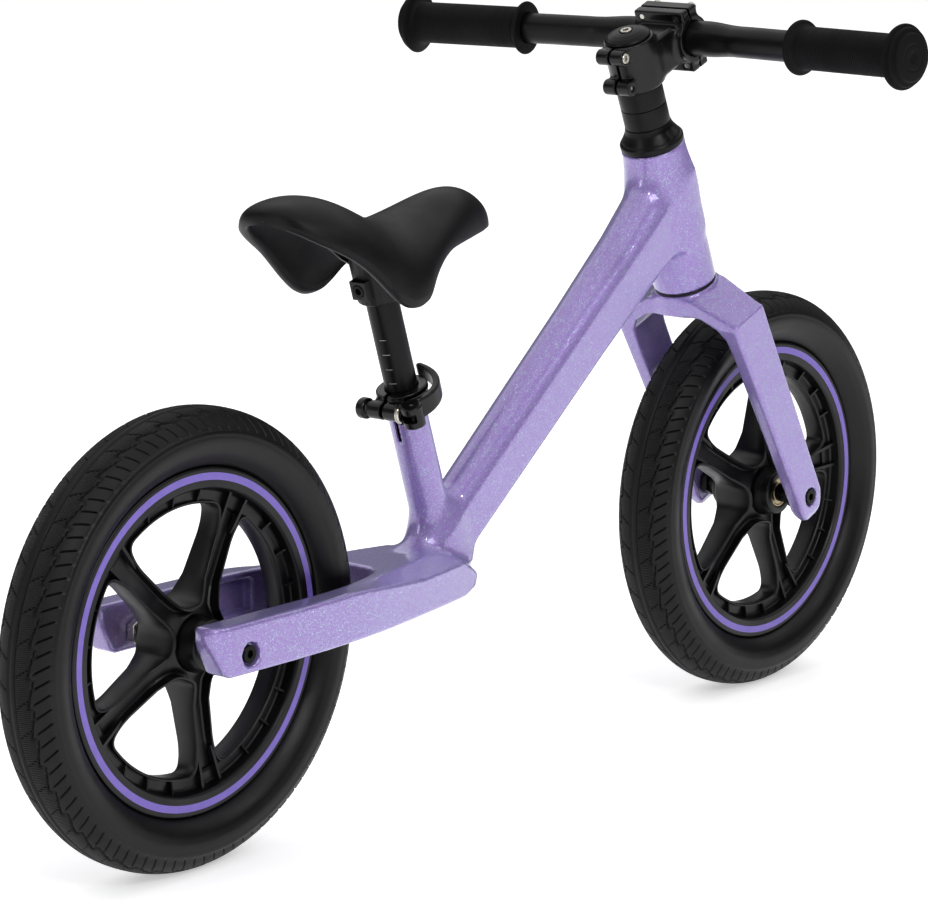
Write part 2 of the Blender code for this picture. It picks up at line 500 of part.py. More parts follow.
for sign, label in ((-1, "right"), (1, "left")):
    start = bar_place(sign * GRIP_IN)
    direction = (bar_place(sign * GRIP_OUT) - start).normalized()
    m = Matrix.Translation(start) @ direction.to_track_quat("Z", "X").to_matrix().to_4x4()
    L, r, bore = GRIP_OUT - GRIP_IN, GRIP_R, BAR_R + 0.0005
    deep = (bar_place(sign * BAR_END) - start).length + GAP
    turned("grip_" + label, [
        (0.0185, 0.0), (0.0194, 0.0012), (0.0188, 0.0030), (r, 0.0060), (r, L - 0.0020), (0.0218, L),
        (0.0228, L + 0.0014), (0.0224, L + 0.0030), (0.0205, L + 0.0032), (0.0202, L + 0.0062),
        (0.0168, L + 0.0066), (0.0164, L + 0.0096), (0.0150, L + 0.0104)],
        GRIP, 20, matrix=m, parent=steering)
    combine(bpy.data.objects["grip_" + label], turned("grip_bore_tool_" + label, [(bore, -0.01), (bore, deep)], None, 20, matrix=HEAD @ m))

# ---- seat collar with quick release, in the seat frame ----
in_seat = dict(parent=seat)
C0, C1 = COLLAR_BOTTOM, COLLAR_BOTTOM + COLLAR_H
collar = turned("seat_collar", [(COLLAR_R - 0.0006, C0), (COLLAR_R, C0 + 0.0006), (COLLAR_R, C1 - 0.0006),
                                (COLLAR_R - 0.0006, C1)], SATIN, 24, **in_seat)
SK_Z = C0 + SKEWER_UP
ear = [(0.0, -0.0062), (0.0, 0.0062)] + [(-SKEWER_BACK + 0.0062 * cos(t), 0.0062 * sin(t))
                                         for t in np.linspace(pi / 2, 3 * pi / 2, 9)]
combine(collar, prism("collar_ear_tool", ear, -0.0125, 0.0125,
                      matrix=SEAT @ Matrix.Translation((0, 0, SK_Z)) @ Matrix.Rotation(pi / 2, 4, "X")), "UNION")
combine(collar, turned("collar_bore_tool", [
    (SEAT_TUBE_R + GAP, -0.04), (SEAT_TUBE_R + GAP, C1 - 0.0027), (POST_R + GAP, C1 - 0.0027),
    (POST_R + GAP, 0.04)], None, 24,
                       matrix=SEAT))
combine(collar, box("collar_slit_tool", (-0.04, -0.0014, -0.04), (-0.006, 0.0014, 0.04), matrix=SEAT))
combine(collar, turned("skewer_hole_tool", [(0.0028, -0.03), (0.0028, 0.03)], None, 16,
                       matrix=SEAT @ across(-SKEWER_BACK, 0, SK_Z)))
PIVOT_Y = -0.0235
skewer = turned("qr_skewer", [(0.0025, -0.0275), (0.0025, 0.0240)], DARK_STEEL, 16,
                matrix=across(-SKEWER_BACK, 0, SK_Z), **in_seat)
PIVOT = Matrix.Translation((-SKEWER_BACK, PIVOT_Y, SK_Z))
qr_axis = empty("qr_lever_axis", PIVOT, seat)
combine(skewer, turned("pivot_hole_tool", [(0.0016, -0.01), (0.0016, 0.01)], None, 16, matrix=SEAT @ PIVOT))
turned("qr_pivot_pin", [(0.0013, -0.0080), (0.0013, 0.0080)], STEEL, 16, matrix=PIVOT, **in_seat)
turned("qr_nut", [(0.0028, 0.0129), (0.0048, 0.0129), (0.0048, 0.0150), (0.0072, 0.0150), (0.0072, 0.0212),
                  (0.0065, 0.0220), (0.0028, 0.0220)], SATIN, 20, ring=True,
       matrix=across(-SKEWER_BACK, 0, SK_Z), **in_seat)
turned("cam_washer", [(0.0028, -0.0128), (0.0072, -0.0128), (0.0072, -0.0148), (0.0064, -0.0156),
                      (0.0028, -0.0156)], STEEL, 20, ring=True,
       matrix=across(-SKEWER_BACK, 0, SK_Z), **in_seat)
lever = turned("qr_lever", [(0.0068, -0.0078), (0.0074, -0.0072), (0.0074, 0.0072), (0.0068, 0.0078)], SATIN, 16,
               parent=qr_axis)
rings = []
for k, t in enumerate(np.linspace(0.0, 1.0, 12)):
    angle = radians(222 + 150 * t)
    r = COLLAR_R + 0.0085 - 0.0030 * t
    c = Vector((r * cos(angle), r * sin(angle), SK_Z + 0.0005 + 0.0125 * t ** 2))
    n = Vector((cos(angle), sin(angle), 0))
    hw, ht = 0.0019, 0.0060 - 0.0022 * t
    rings.append([c - Vector(PIVOT.translation) + n * p + Vector((0, 0, q)) for p, q in (
        (-hw, -ht), (hw, -ht), (hw, ht), (-hw, ht))])
combine(lever, body("lever_arm_tool", *skin_rings(rings), matrix=SEAT @ PIVOT), "UNION")
combine(lever, box("lever_slot_tool", (-0.0110, -0.0060, -0.0030), (0.0051, 0.0110, 0.0030),
                   matrix=SEAT @ PIVOT))
combine(lever, turned("lever_hole_tool", [(0.0016, -0.02), (0.0016, 0.02)], None, 16, matrix=SEAT @ PIVOT))

# ---- seatpost and saddle, in the seat frame ----
BOLT_T = 0.1025
post = tube("seatpost", 0.0090, POST_R, -POST_DEPTH, POST_TOP, SATIN, 24, **in_seat)
combine(post, turned("post_hole_tool", [(0.0029, -0.02), (0.0029, 0.02)], None, 16,
                     matrix=SEAT @ forward(0, 0, BOLT_T)))

# saddle outline: x, half width, rim height, crown height on the middle line
SADDLE = [(-0.2345, 0.0070, 0.4080, 0.4118), (-0.2310, 0.0180, 0.4065, 0.4175), (-0.2240, 0.0265, 0.4025, 0.4212),
          (-0.2120, 0.0345, 0.3970, 0.4232), (-0.1950, 0.0410, 0.3885, 0.4220), (-0.1780, 0.0460, 0.3775, 0.4170),
          (-0.1600, 0.0498, 0.3610, 0.4095), (-0.1450, 0.0512, 0.3500, 0.4040), (-0.1320, 0.0508, 0.3490, 0.4015),
          (-0.1180, 0.0465, 0.3600, 0.4018), (-0.1000, 0.0395, 0.3730, 0.4055), (-0.0800, 0.0335, 0.3800, 0.4110),
          (-0.0600, 0.0275, 0.3825, 0.4140), (-0.0400, 0.0215, 0.3840, 0.4125), (-0.0260, 0.0160, 0.3855, 0.4060),
          (-0.0170, 0.0090, 0.3865, 0.3970), (-0.0145, 0.0040, 0.3870, 0.3910)]
PAD_T = 0.0075


def saddle_arch(w, rim, crown, steps=10):
    """Points of one cross-section arch from the right rim over the crown to the left rim."""
    return [(w * sin(t), rim + (crown - rim) * cos(t) ** 0.85 if abs(t) < pi / 2 - 1e-6 else rim)
            for t in np.linspace(-pi / 2, pi / 2, steps + 1)]


def pad_under(x):
    """Half width and heights of the pad's inner arch at a station."""
    xs, ws, rims, tops = np.array(SADDLE).T
    return (np.interp(x, xs, ws) - PAD_T * 0.8, np.interp(x, xs, rims), np.interp(x, xs, tops) - PAD_T)


rings = []
for x, w, rim, top in SADDLE:
    hollow = -0.224 < x < -0.030
    outer_arch = saddle_arch(w, rim, top)
    if hollow:
        inner_arch = saddle_arch(w - PAD_T * 0.8, rim + 0.0002, top - PAD_T)
    else:
        inner_arch = saddle_arch(w * 0.7, rim + 0.0002, rim + 0.0010)
    rings.append([(x, y, z) for y, z in outer_arch] + [(x, y, z) for y, z in inner_arch[::-1]])
pad = body("saddle_pad", *skin_rings(rings), SKIN)
pad.parent, pad.matrix_parent_inverse = seat, SEAT.inverted() @ SLIDE

BASE_GAP = 0.0010
base_x = [x for x, *rest in SADDLE if -0.2130 < x < -0.0390]


def base_arch(x, y):
    """Height of the base's upper face at a sideways distance."""
    w, rim, top = pad_under(x)
    c = sqrt(1 - min(abs(y) / (w - BASE_GAP), 1.0) ** 2)
    return rim + (top - BASE_GAP - rim) * c ** 0.85


rings = []
for x in base_x:
    half = 0.70 * pad_under(x)[0]
    ys = np.linspace(-half, half, 7)
    rings.append([(x, y, base_arch(x, y)) for y in ys]
                 + [(x, 0.95 * y, base_arch(x, y) - 0.0030) for y in ys[::-1]])
base = body("saddle_base", *skin_rings(rings), PLASTIC)
base.parent, base.matrix_parent_inverse = seat, SEAT.inverted() @ SLIDE
for y in (-0.0125, 0.0125):
    rings = []
    for x in base_x[1:-1]:
        z = base_arch(x, abs(y) + 0.0012) - 0.0012
        drop = 0.006 + 0.018 * max(0.0, 1 - abs(x + 0.128) / 0.060)
        rings.append([(x, y - 0.0011, z - drop), (x, y + 0.0011, z - drop), (x, y + 0.0011, z),
                      (x, y - 0.0011, z)])
    combine(base, body("rib_tool_%+.0f" % np.sign(y), *skin_rings(rings), matrix=SLIDE), "UNION")
combine(base, turned("socket_tool", [(0.0150, 0.0895), (0.0158, 0.0903), (0.0162, 0.1270)], None, 24,
                     matrix=SEAT), "UNION")
combine(base, prism("bolt_boss_tool", [(-0.0200, 0.0960), (-0.0200, 0.1090), (0.0185, 0.1090),
                                       (0.0185, 0.0960)], -0.0065, 0.0065,
                    matrix=SEAT @ Matrix.Rotation(pi / 2, 4, "X")), "UNION")
combine(base, turned("socket_bore_tool", [(POST_R + GAP, 0.0500), (POST_R + GAP, POST_TOP + GAP)], None, 24,
                     matrix=SEAT))
combine(base, turned("saddle_bolt_hole_tool", [
    (0.0048, -0.0300), (0.0048, -0.0170), (0.0028, -0.0170), (0.0028, 0.0142), (0.0046, 0.0142),
    (0.0046, 0.0300)], None, 16, matrix=SEAT @ forward(0, 0, BOLT_T)))
turned("saddle_bolt", [(0.0024, 0.0181), (0.0024, -0.0173), (0.0045, -0.0173), (0.0045, -0.0205),
                       (0.0019, -0.0205), (0.0019, -0.0188)], DARK_STEEL, 18, hexes=(4, 5),
       matrix=forward(0, 0, BOLT_T), **in_seat)
turned("saddle_nut", [(0.0026, 0.0145), (0.0039, 0.0145), (0.0039, 0.0178), (0.0026, 0.0178)], DARK_STEEL, 18,
       ring=True, hexes=(1, 2), matrix=forward(0, 0, BOLT_T), **in_seat)
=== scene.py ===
# %% [markdown]
# # A child's balance bike
#
# The bike is a cast alloy frame and fork painted pearl lilac, two moulded black wheels with rubber
# tyres, a black stem, bar and grips, and a saddle on a quick-release post. Everything here is placed in
# the same frame as the CAD model: +X forward, +Y to the rider's left, +Z up, metres. Each new piece
# takes the place of one or more CAD nodes and rides on the body that they belong to.

# %% Load the CAD frame
import bmesh
import bpy
import numpy as np
from math import cos, pi, radians, sin
from mathutils import Matrix


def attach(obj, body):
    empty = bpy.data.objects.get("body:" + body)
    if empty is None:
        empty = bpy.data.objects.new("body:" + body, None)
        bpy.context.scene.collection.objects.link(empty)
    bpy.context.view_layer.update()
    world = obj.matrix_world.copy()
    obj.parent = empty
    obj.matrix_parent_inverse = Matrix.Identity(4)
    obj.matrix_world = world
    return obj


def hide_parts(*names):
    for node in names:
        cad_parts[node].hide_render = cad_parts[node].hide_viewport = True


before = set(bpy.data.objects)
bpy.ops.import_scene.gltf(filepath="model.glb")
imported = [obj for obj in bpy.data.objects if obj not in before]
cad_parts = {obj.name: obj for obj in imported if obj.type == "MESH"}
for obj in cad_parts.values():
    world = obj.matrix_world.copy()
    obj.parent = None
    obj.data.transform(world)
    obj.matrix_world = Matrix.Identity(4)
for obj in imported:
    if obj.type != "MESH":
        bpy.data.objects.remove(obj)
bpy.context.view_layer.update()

# %% [markdown]
# ## Axes of the bike
# Three lines rule the whole machine: the two wheel axles and the head axis, which leans back 22 degrees.
# The seat tube leans back 18.3 degrees. A 4 by 4 matrix for each lets a part be shaped upright at the
# origin, where it is easy to think about, and then be carried to its place.

# %% The frames that parts are shaped in
WHEEL_R, WHEELBASE, RAKE = 0.150, 0.627, 0.0206
HEAD_TILT, SEAT_TILT = radians(22.0), radians(18.3)
FRONT = np.array([WHEELBASE / 2, 0, WHEEL_R])
REAR = np.array([-WHEELBASE / 2, 0, WHEEL_R])
SEAT_TOP = np.array([-0.0909, 0, 0.2620])
HEAD_TUBE_R, SEAT_TUBE_R, POST_R = 0.0231, 0.0135, 0.0111
BAR = (0.0470, 0.3655)                 # ahead of the head axis, and up it
PINCH_BACK, PINCH = -0.0205, (0.3578, 0.3812)
SKEWER = (-0.0196, 0.0140)             # behind the seat tube's axis, and up it
HEAD_FOOT = FRONT - RAKE * np.array([cos(HEAD_TILT), 0, sin(HEAD_TILT)])


def leaning(origin, tilt):
    """A frame at a point whose Z leans back by an angle and whose Y stays sideways."""
    return np.array(Matrix.Translation(origin) @ Matrix.Rotation(-tilt, 4, "Y"))


def sideways(centre, turn=0.0):
    """A frame at a point with its Z along +Y, turned about that line."""
    lying = Matrix.Translation(centre) @ Matrix.Rotation(-pi / 2, 4, "X")
    return np.array(lying @ Matrix.Rotation(turn, 4, "Z"))


def ahead(centre):
    """A frame at a point with its Z along +X."""
    return np.array(Matrix.Translation(centre) @ Matrix.Rotation(pi / 2, 4, "Y"))


HEAD, SEAT = leaning(HEAD_FOOT, HEAD_TILT), leaning(SEAT_TOP, SEAT_TILT)
SKEWER_LINE = SEAT @ sideways((SKEWER[0], 0, SKEWER[1]))
UP = np.eye(4)
print("head axis foot", HEAD_FOOT.round(4), "seat tube top", SEAT_TOP)

# %% [markdown]
# ## From numbers to meshes
# A surface is a grid of points over two parameters. Neighbouring points become four-cornered faces, and
# a direction that closes on itself joins its last row to its first. The volume's sign says whether the
# faces look out, and they are turned round if they don't.

# %% Grid surfaces


def mesh_of(name, points, quads, uv=None):
    """Fill a mesh from points (n, 3) and four-cornered faces (m, 4), turned so its volume is positive."""
    a, b, c, d = (points[quads[:, k]] for k in range(4))
    volume = (np.einsum("ij,ij->i", a, np.cross(b, c)) + np.einsum("ij,ij->i", a, np.cross(c, d))).sum()
    if volume < 0:
        quads = quads[:, ::-1]
        uv = None if uv is None else uv[:, ::-1]
    me = bpy.data.meshes.new(name)
    me.vertices.add(len(points))
    me.vertices.foreach_set("co", points.astype(np.float32).ravel())
    me.loops.add(quads.size)
    me.loops.foreach_set("vertex_index", quads.astype(np.int32).ravel())
    me.polygons.add(len(quads))
    me.polygons.foreach_set("loop_start", np.arange(0, quads.size, 4, dtype=np.int32))
    me.update(calc_edges=True)
    if uv is not None:
        me.uv_layers.new(name="UVMap").data.foreach_set("uv", uv.astype(np.float32).ravel())
    return me


def grid_faces(n, m, wrap_n=True, wrap_m=True):
    """Corner indices of the faces between the rows and columns of an n by m grid."""
    i = np.arange(n if wrap_n else n - 1)[:, None]
    j = np.arange(m if wrap_m else m - 1)[None, :]
    i1, j1 = (i + 1) % n, (j + 1) % m
    return np.stack(np.broadcast_arrays(i * m + j, i * m + j1, i1 * m + j1, i1 * m + j), -1).reshape(-1, 4)


def join(parts):
    """Several (points, faces) pairs as one pair."""
    starts = np.cumsum([0] + [len(p) for p, q in parts[:-1]])
    return np.concatenate([p for p, q in parts]), np.concatenate([q + s for (p, q), s in zip(parts, starts)])


def carry(points, matrix):
    """Move points shaped at the origin to their place: rotate, then shift."""
    return points @ matrix[:3, :3].T + matrix[:3, 3]


def turned_by(points, angle):
    """Points turned about Z by an angle."""
    c, s = cos(angle), sin(angle)
    return points @ np.array([[c, -s, 0], [s, c, 0], [0, 0, 1]]).T


def both_sides(half):
    """Half an outline and its mirror image in the second coordinate, as one closed outline."""
    half = np.array(half)
    return np.concatenate([half, half[::-1] * [1, -1]])


def place(name, points, quads, body, material, stands_for=(), uv=None, sharp=38, merge=0.0):
    """Make an object of the points and faces, give it its finish and let it ride on a CAD body."""
    me = mesh_of(name, points, quads, uv)
    if merge:
        bm = bmesh.new()
        bm.from_mesh(me)
        bmesh.ops.remove_doubles(bm, verts=bm.verts, dist=merge)
        bmesh.ops.dissolve_degenerate(bm, edges=bm.edges, dist=merge)
        bm.to_mesh(me)
        bm.free()
    me.polygons.foreach_set("use_smooth", [True] * len(me.polygons))
    me.set_sharp_from_angle(angle=radians(sharp))
    me.materials.append(material)
    ob = bpy.data.objects.new(name, me)
    bpy.context.scene.collection.objects.link(ob)
    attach(ob, body)
    if stands_for:
        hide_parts(*stands_for)
    return ob


print("faces of a closed 4 by 3 grid:", len(grid_faces(4, 3)))

# %% [markdown]
# ## Turned parts
# Spacers, bearings, bolts, caps and grips are all turned: a profile of radius against height carried
# round an axis. Real edges are never knife sharp, so each corner of a profile is first eased with a
# small curve, and that curve is what catches the light.

# %% Profiles carried round an axis


def ease(corners, size=0.0004, steps=3, closed=False):
    """Round a polyline's corners: each is replaced by a quadratic curve that starts `size` before it and
    ends `size` after it, or at 45% of the way to the next corner if that is nearer."""
    p = np.asarray(corners, float)
    back, ahead_ = np.roll(p, 1, 0) - p, np.roll(p, -1, 0) - p
    lb, la = np.linalg.norm(back, axis=1)[:, None], np.linalg.norm(ahead_, axis=1)[:, None]
    start = p + back / np.maximum(lb, 1e-12) * np.minimum(size, 0.45 * lb)
    end = p + ahead_ / np.maximum(la, 1e-12) * np.minimum(size, 0.45 * la)
    t = np.linspace(0, 1, steps + 1)[None, :, None]
    curve = (1 - t) ** 2 * start[:, None] + 2 * t * (1 - t) * p[:, None] + t ** 2 * end[:, None]
    if closed:
        return curve.reshape(-1, 2)
    return np.concatenate([p[:1], curve[1:-1].reshape(-1, 2), p[-1:]])


def turned(profile, matrix, segments=72, ring=False, hexagon=()):
    """x = r cos t, y = r sin t, z = h for each (r, h) of the profile. Rows listed in hexagon have r divided
    by the cosine of the angle to the nearest flat, which makes them six-sided. ring closes the profile."""
    r, h = np.asarray(profile, float).T
    t = np.linspace(0, 2 * pi, segments, endpoint=False)[:, None]
    flat = 1 / np.cos((t + pi / 6) % (pi / 3) - pi / 6)
    scale = np.where(np.isin(np.arange(len(r)), hexagon)[None, :], flat, 1.0)
    pts = np.stack([r * scale * np.cos(t), r * scale * np.sin(t), h + 0 * t], -1).reshape(-1, 3)
    return carry(pts, matrix), grid_faces(segments, len(r), True, ring)


def bolt(head_r, head_z, top, socket, shank_r, tip, matrix):
    """A cap screw: shank from `tip` up to the head's seat at `head_z`, head to `top`, hex socket in it."""
    sgn = 1 if top > head_z else -1
    deep = top - sgn * 0.0024
    profile = [(0, tip), (shank_r, tip), (shank_r, head_z), (head_r, head_z), (head_r, top - sgn * 0.0004),
               (head_r - 0.0004, top), (socket + 0.0003, top), (socket, top - sgn * 0.0003), (socket, deep),
               (0, deep)]
    return turned(profile, matrix, 48, hexagon=(7, 8))


print("points of an eased square:", len(ease([(0, 0), (1, 0), (1, 1), (0, 1)], 0.1, closed=True)))

# %% [markdown]
# ## Castings without seams
# The frame and fork are cast in one piece, with soft fillets where one limb grows out of another and
# crisp creases where the pattern maker wanted them. Joining meshes leaves hard seams, so these are drawn
# as a field instead: a function that gives the distance to the surface, negative inside. Two fields are
# joined with a smooth minimum, whose width is the fillet's radius, and cut with a smooth maximum. The
# surface where the field is zero is then meshed in cells, one point in each cell that it crosses.

# %% Distance fields and their skin


def blend(a, b, k):
    """Smooth minimum: the smaller of two fields, rounded over where they are within k of each other."""
    h = np.clip(0.5 + 0.5 * (b - a) / k, 0, 1)
    return b * (1 - h) + a * h - k * h * (1 - h)


def both(a, b, k=0.0008):
    """Smooth maximum: where both fields are inside, with an edge rounded by k."""
    return -blend(-a, -b, k)


def outline_field(u, v, corners):
    """Distance to a closed outline in a plane, negative inside: the nearest edge gives the size and the
    number of edges crossed by a ray along +u gives the sign."""
    p = np.asarray(corners, float)
    q = np.roll(p, -1, 0)
    best, inside = np.full(np.broadcast(u, v).shape, 1e9), np.zeros(np.broadcast(u, v).shape, bool)
    for (ax, ay), (bx, by) in zip(p, q):
        ex, ey = bx - ax, by - ay
        t = np.clip(((u - ax) * ex + (v - ay) * ey) / (ex * ex + ey * ey + 1e-18), 0, 1)
        best = np.minimum(best, (u - ax - t * ex) ** 2 + (v - ay - t * ey) ** 2)
        if ey != 0:
            crosses = ((ay > v) != (by > v)) & (u < ex * (v - ay) / ey + ax)
            inside = inside ^ crosses
    return np.where(inside, -1, 1) * np.sqrt(best)


def block_field(x, y, z, centre, half, k=0.0):
    """Distance to a box with its edges rounded by k."""
    d = [np.abs(c - m) - h + k for c, m, h in zip((x, y, z), centre, half)]
    out = np.sqrt(sum(np.maximum(e, 0) ** 2 for e in d))
    return out + np.minimum(np.maximum(np.maximum(d[0], d[1]), d[2]), 0) - k


def rod_field(along, radial, low, high, radius, k=0.0008):
    """Distance to a round bar between two heights, its end edges rounded by k."""
    return both(radial - radius, np.abs(along - (low + high) / 2) - (high - low) / 2, k)


def marks(low, high, step, fine=None, zones=()):
    """Positions from low to high: `step` apart, or `fine` apart inside the zones."""
    out = [low - 2 * step]
    while out[-1] < high + 2 * step:
        out.append(out[-1] + (fine if any(a <= out[-1] <= b for a, b in zones) else step))
    return np.array(out)


def skin(field, low, high, step, axes=None):
    """Mesh the zero surface of a field. Cells of the lattice that it crosses get one point, the mean of
    its crossings on the cell's edges; two Newton steps along the slope then lay the points on it."""
    if axes is None:
        axes = [marks(a, b, step) for a, b in zip(low, high)]
    grids = np.meshgrid(*axes, indexing="ij", sparse=True)
    f = np.broadcast_to(field(*grids), [len(a) for a in axes]).astype(np.float32)
    neg = f < 0
    s = [slice(0, -1), slice(1, None)]
    count = sum(neg[s[i], s[j], s[k]].astype(np.int8) for i in (0, 1) for j in (0, 1) for k in (0, 1))
    cells = np.argwhere((count > 0) & (count < 8))
    index = np.full(count.shape, -1, np.int64)
    index[tuple(cells.T)] = np.arange(len(cells))
    total, hits = np.zeros((len(cells), 3)), np.zeros(len(cells))
    for axis in range(3):
        for b in (0, 1):
            for c in (0, 1):
                start = np.insert([b, c], axis, 0)
                end = np.insert([b, c], axis, 1)
                fa, fb = f[tuple((cells + start).T)], f[tuple((cells + end).T)]
                cut = (fa < 0) != (fb < 0)
                t = np.where(cut, fa / np.where(cut, fa - fb, 1), 0)
                total += np.where(cut[:, None], start + t[:, None] * (end - start), 0)
                hits += cut
    part = total / hits[:, None]
    points = np.stack([a[c] + q * (a[c + 1] - a[c]) for a, c, q in zip(axes, cells.T, part.T)], -1)
    quads = []
    for axis in range(3):
        lo, hi = [slice(1, -1)] * 3, [slice(1, -1)] * 3
        lo[axis], hi[axis] = slice(0, -1), slice(1, None)
        edge = np.argwhere(neg[tuple(lo)] != neg[tuple(hi)])
        first = neg[tuple(lo)][tuple(edge.T)]
        edge = edge + 1
        edge[:, axis] -= 1
        u, v = [np.eye(3, dtype=int)[(axis + n) % 3] for n in (1, 2)]
        ring = [index[tuple((edge - d).T)] for d in (0 * u, u, u + v, v)]
        faces = np.stack(ring, -1)
        quads.append(np.where(first[:, None], faces, faces[:, ::-1]))
    for _ in range(2):
        x, y, z = points.T
        e = step * 0.1
        g0 = field(x, y, z)
        g = np.stack([field(x + e, y, z) - g0, field(x, y + e, z) - g0, field(x, y, z + e) - g0], -1) / e
        move = -(g0 / np.maximum((g * g).sum(1), 0.2))[:, None] * g
        points = points + np.clip(move, -0.4 * step, 0.4 * step)
    return points, np.concatenate(quads)


test_axis = marks(0, 0.010, 0.002, 0.001, [(0.004, 0.006)])
print("lattice positions, coarse and fine:", len(test_axis))

# %% [markdown]
# ## Finishes
# Colours are written as sRGB hex values, as a paint chart gives them, and turned to the linear numbers
# that light adds up in. Patterns read Object coordinates in metres, so a scale of 1000 is a millimetre.

# %% Colour and nodes


def hex_colour(code):
    """sRGB hex to linear: below 0.04045 divide by 12.92, above it raise (c + 0.055) / 1.055 to 2.4."""
    c = np.array([int(code[i:i + 2], 16) / 255 for i in (1, 3, 5)])
    return (*np.where(c <= 0.04045, c / 12.92, ((c + 0.055) / 1.055) ** 2.4), 1.0)


def add(tree, kind, inputs=None, **settings):
    """Add one shader node. Settings are its properties; inputs gives sockets a value or a link."""
    n = tree.nodes.new("ShaderNode" + kind)
    for key, value in settings.items():
        setattr(n, key, value)
    for key, value in (inputs or {}).items():
        if isinstance(value, bpy.types.NodeSocket):
            tree.links.new(value, n.inputs[key])
        else:
            n.inputs[key].default_value = value
    return n


def new_finish(name, colour, roughness, metallic=0.0, **sockets):
    """A material with its Principled shader's own sockets set, and its tree for patterns."""
    m = bpy.data.materials.new(name)
    m.use_nodes = True
    shader = m.node_tree.nodes["Principled BSDF"]
    shader.inputs["Base Color"].default_value = hex_colour(colour)
    shader.inputs["Roughness"].default_value = roughness
    shader.inputs["Metallic"].default_value = metallic
    for key, value in sockets.items():
        shader.inputs[key.replace("_", " ")].default_value = value
    return m, m.node_tree, shader


# %% [markdown]
# ### Pearl lilac lacquer
# The castings are sprayed with a pearl base coat and a clear coat. Pearl is mica coated with titanium
# oxide: seen square on it shows the lilac pigment, and at a slant it turns blue-white, which is partly
# the pearl's own flop and partly a painted sheen. Single flakes of about a quarter of a millimetre
# sparkle near the highlights; their pale cyan colour is partly their own tint and partly a painted
# sparkle, and they are drawn at 0.5 mm so that they show. A broad, faint unevenness is where the spray
# overlapped.

# %% Pearl lacquer
PEARL, tree, shader = new_finish("pearl_lacquer_on_cast_alloy", "#9F88C6", 0.34, 0.25,
                                 Coat_Weight=1.0, Coat_Roughness=0.10, Coat_IOR=1.5)
where = add(tree, "TexCoord").outputs["Object"]
flakes = add(tree, "TexVoronoi", {"Vector": where, "Scale": 2000.0})
flake_values = add(tree, "SeparateColor", {"Color": flakes.outputs["Color"]}).outputs
pick = add(tree, "ValToRGB", {"Fac": flake_values[0]})
pick.color_ramp.elements[0].position, pick.color_ramp.elements[0].color = 0.80, (0, 0, 0, 1)
pick.color_ramp.elements[1].position, pick.color_ramp.elements[1].color = 1.0, (1, 1, 1, 1)
# at a slant the colour is mixed towards blue-white: partly the pearl's own flop, partly a painted sheen
slant = add(tree, "LayerWeight", {"Blend": 0.35}).outputs["Facing"]
flop_and_painted_sheen = add(tree, "MapRange", {"Value": slant, "From Min": 0.25, "From Max": 0.95,
                                 "To Min": 0.0, "To Max": 0.42})
cloud = add(tree, "TexNoise", {"Vector": where, "Scale": 28.0, "Detail": 2.0})
drift = add(tree, "MapRange", {"Value": cloud.outputs["Fac"], "From Min": 0.3, "From Max": 0.7,
                               "To Min": 0.0, "To Max": 0.16})
base = add(tree, "Mix", {"Factor": drift.outputs[0], "A": hex_colour("#9A82C2"), "B": hex_colour("#A893CE")},
           data_type="RGBA")
base = add(tree, "Mix", {"Factor": flop_and_painted_sheen.outputs[0], "A": base.outputs["Result"],
                         "B": hex_colour("#A7B2E2")}, data_type="RGBA")
# flakes are mixed towards pale cyan: partly their own tint, partly a painted sparkle
flake_tint_and_painted_sparkle = add(tree, "Math", {0: pick.outputs["Color"], 1: 0.70}, operation="MULTIPLY")
base = add(tree, "Mix", {"Factor": flake_tint_and_painted_sparkle.outputs[0], "A": base.outputs["Result"],
                         "B": hex_colour("#CDF3F0")}, data_type="RGBA")
tree.links.new(base.outputs["Result"], shader.inputs["Base Color"])
rough = add(tree, "MapRange", {"Value": pick.outputs["Color"], "To Min": 0.36, "To Max": 0.18})
tree.links.new(rough.outputs[0], shader.inputs["Roughness"])
tilt = add(tree, "Bump", {"Height": flake_values[1], "Strength": 0.10, "Distance": 0.00005})
tree.links.new(tilt.outputs[0], shader.inputs["Normal"])
print("pearl nodes:", len(tree.nodes))

# %% [markdown]
# ### Blacks and metals
# Four blacks sit side by side on this bike, and they differ only in how they scatter light: bead blasted
# and anodised alloy, moulded nylon, rubber, and grained polyurethane foam skin. Each gets its own grain,
# sized in millimetres, and a slow variation in roughness, because handling polishes real surfaces
# unevenly.


# %% Grained finishes
def grained(name, colour, roughness, metallic, grain_mm, depth_mm, strength, spread=0.08,
            cells=False, **sockets):
    """A finish with a fine grain in its bump and a slow drift of its roughness."""
    m, tree, shader = new_finish(name, colour, roughness, metallic, **sockets)
    where = add(tree, "TexCoord").outputs["Object"]
    per_metre = 1000.0 / grain_mm
    if cells:
        grain = add(tree, "TexVoronoi", {"Vector": where, "Scale": per_metre}).outputs["Distance"]
    else:
        grain = add(tree, "TexNoise", {"Vector": where, "Scale": per_metre, "Detail": 2.0}).outputs["Fac"]
    slow = add(tree, "TexNoise", {"Vector": where, "Scale": 40.0, "Detail": 3.0})
    drift = add(tree, "MapRange", {"Value": slow.outputs["Fac"], "From Min": 0.3, "From Max": 0.7,
                                   "To Min": roughness - spread, "To Max": roughness + spread})
    tree.links.new(drift.outputs[0], shader.inputs["Roughness"])
    lumps = add(tree, "Bump", {"Height": grain, "Strength": strength, "Distance": depth_mm / 1000.0})
    tree.links.new(lumps.outputs[0], shader.inputs["Normal"])
    return m


# anodised alloy: blasted before dyeing, so a soft sheen with a fine sandy grain, drawn at 0.5 mm
ANODISED = grained("black_anodised_alloy", "#0C0C0D", 0.36, 0.4, 0.5, 0.03, 0.25)
# painted alloy of the collar and stem: a thin clear coat gives narrow highlights over a soft one
GLOSS_BLACK = grained("black_painted_alloy", "#08080A", 0.30, 0.2, 0.7, 0.02, 0.12,
                      Coat_Weight=0.25, Coat_Roughness=0.2)
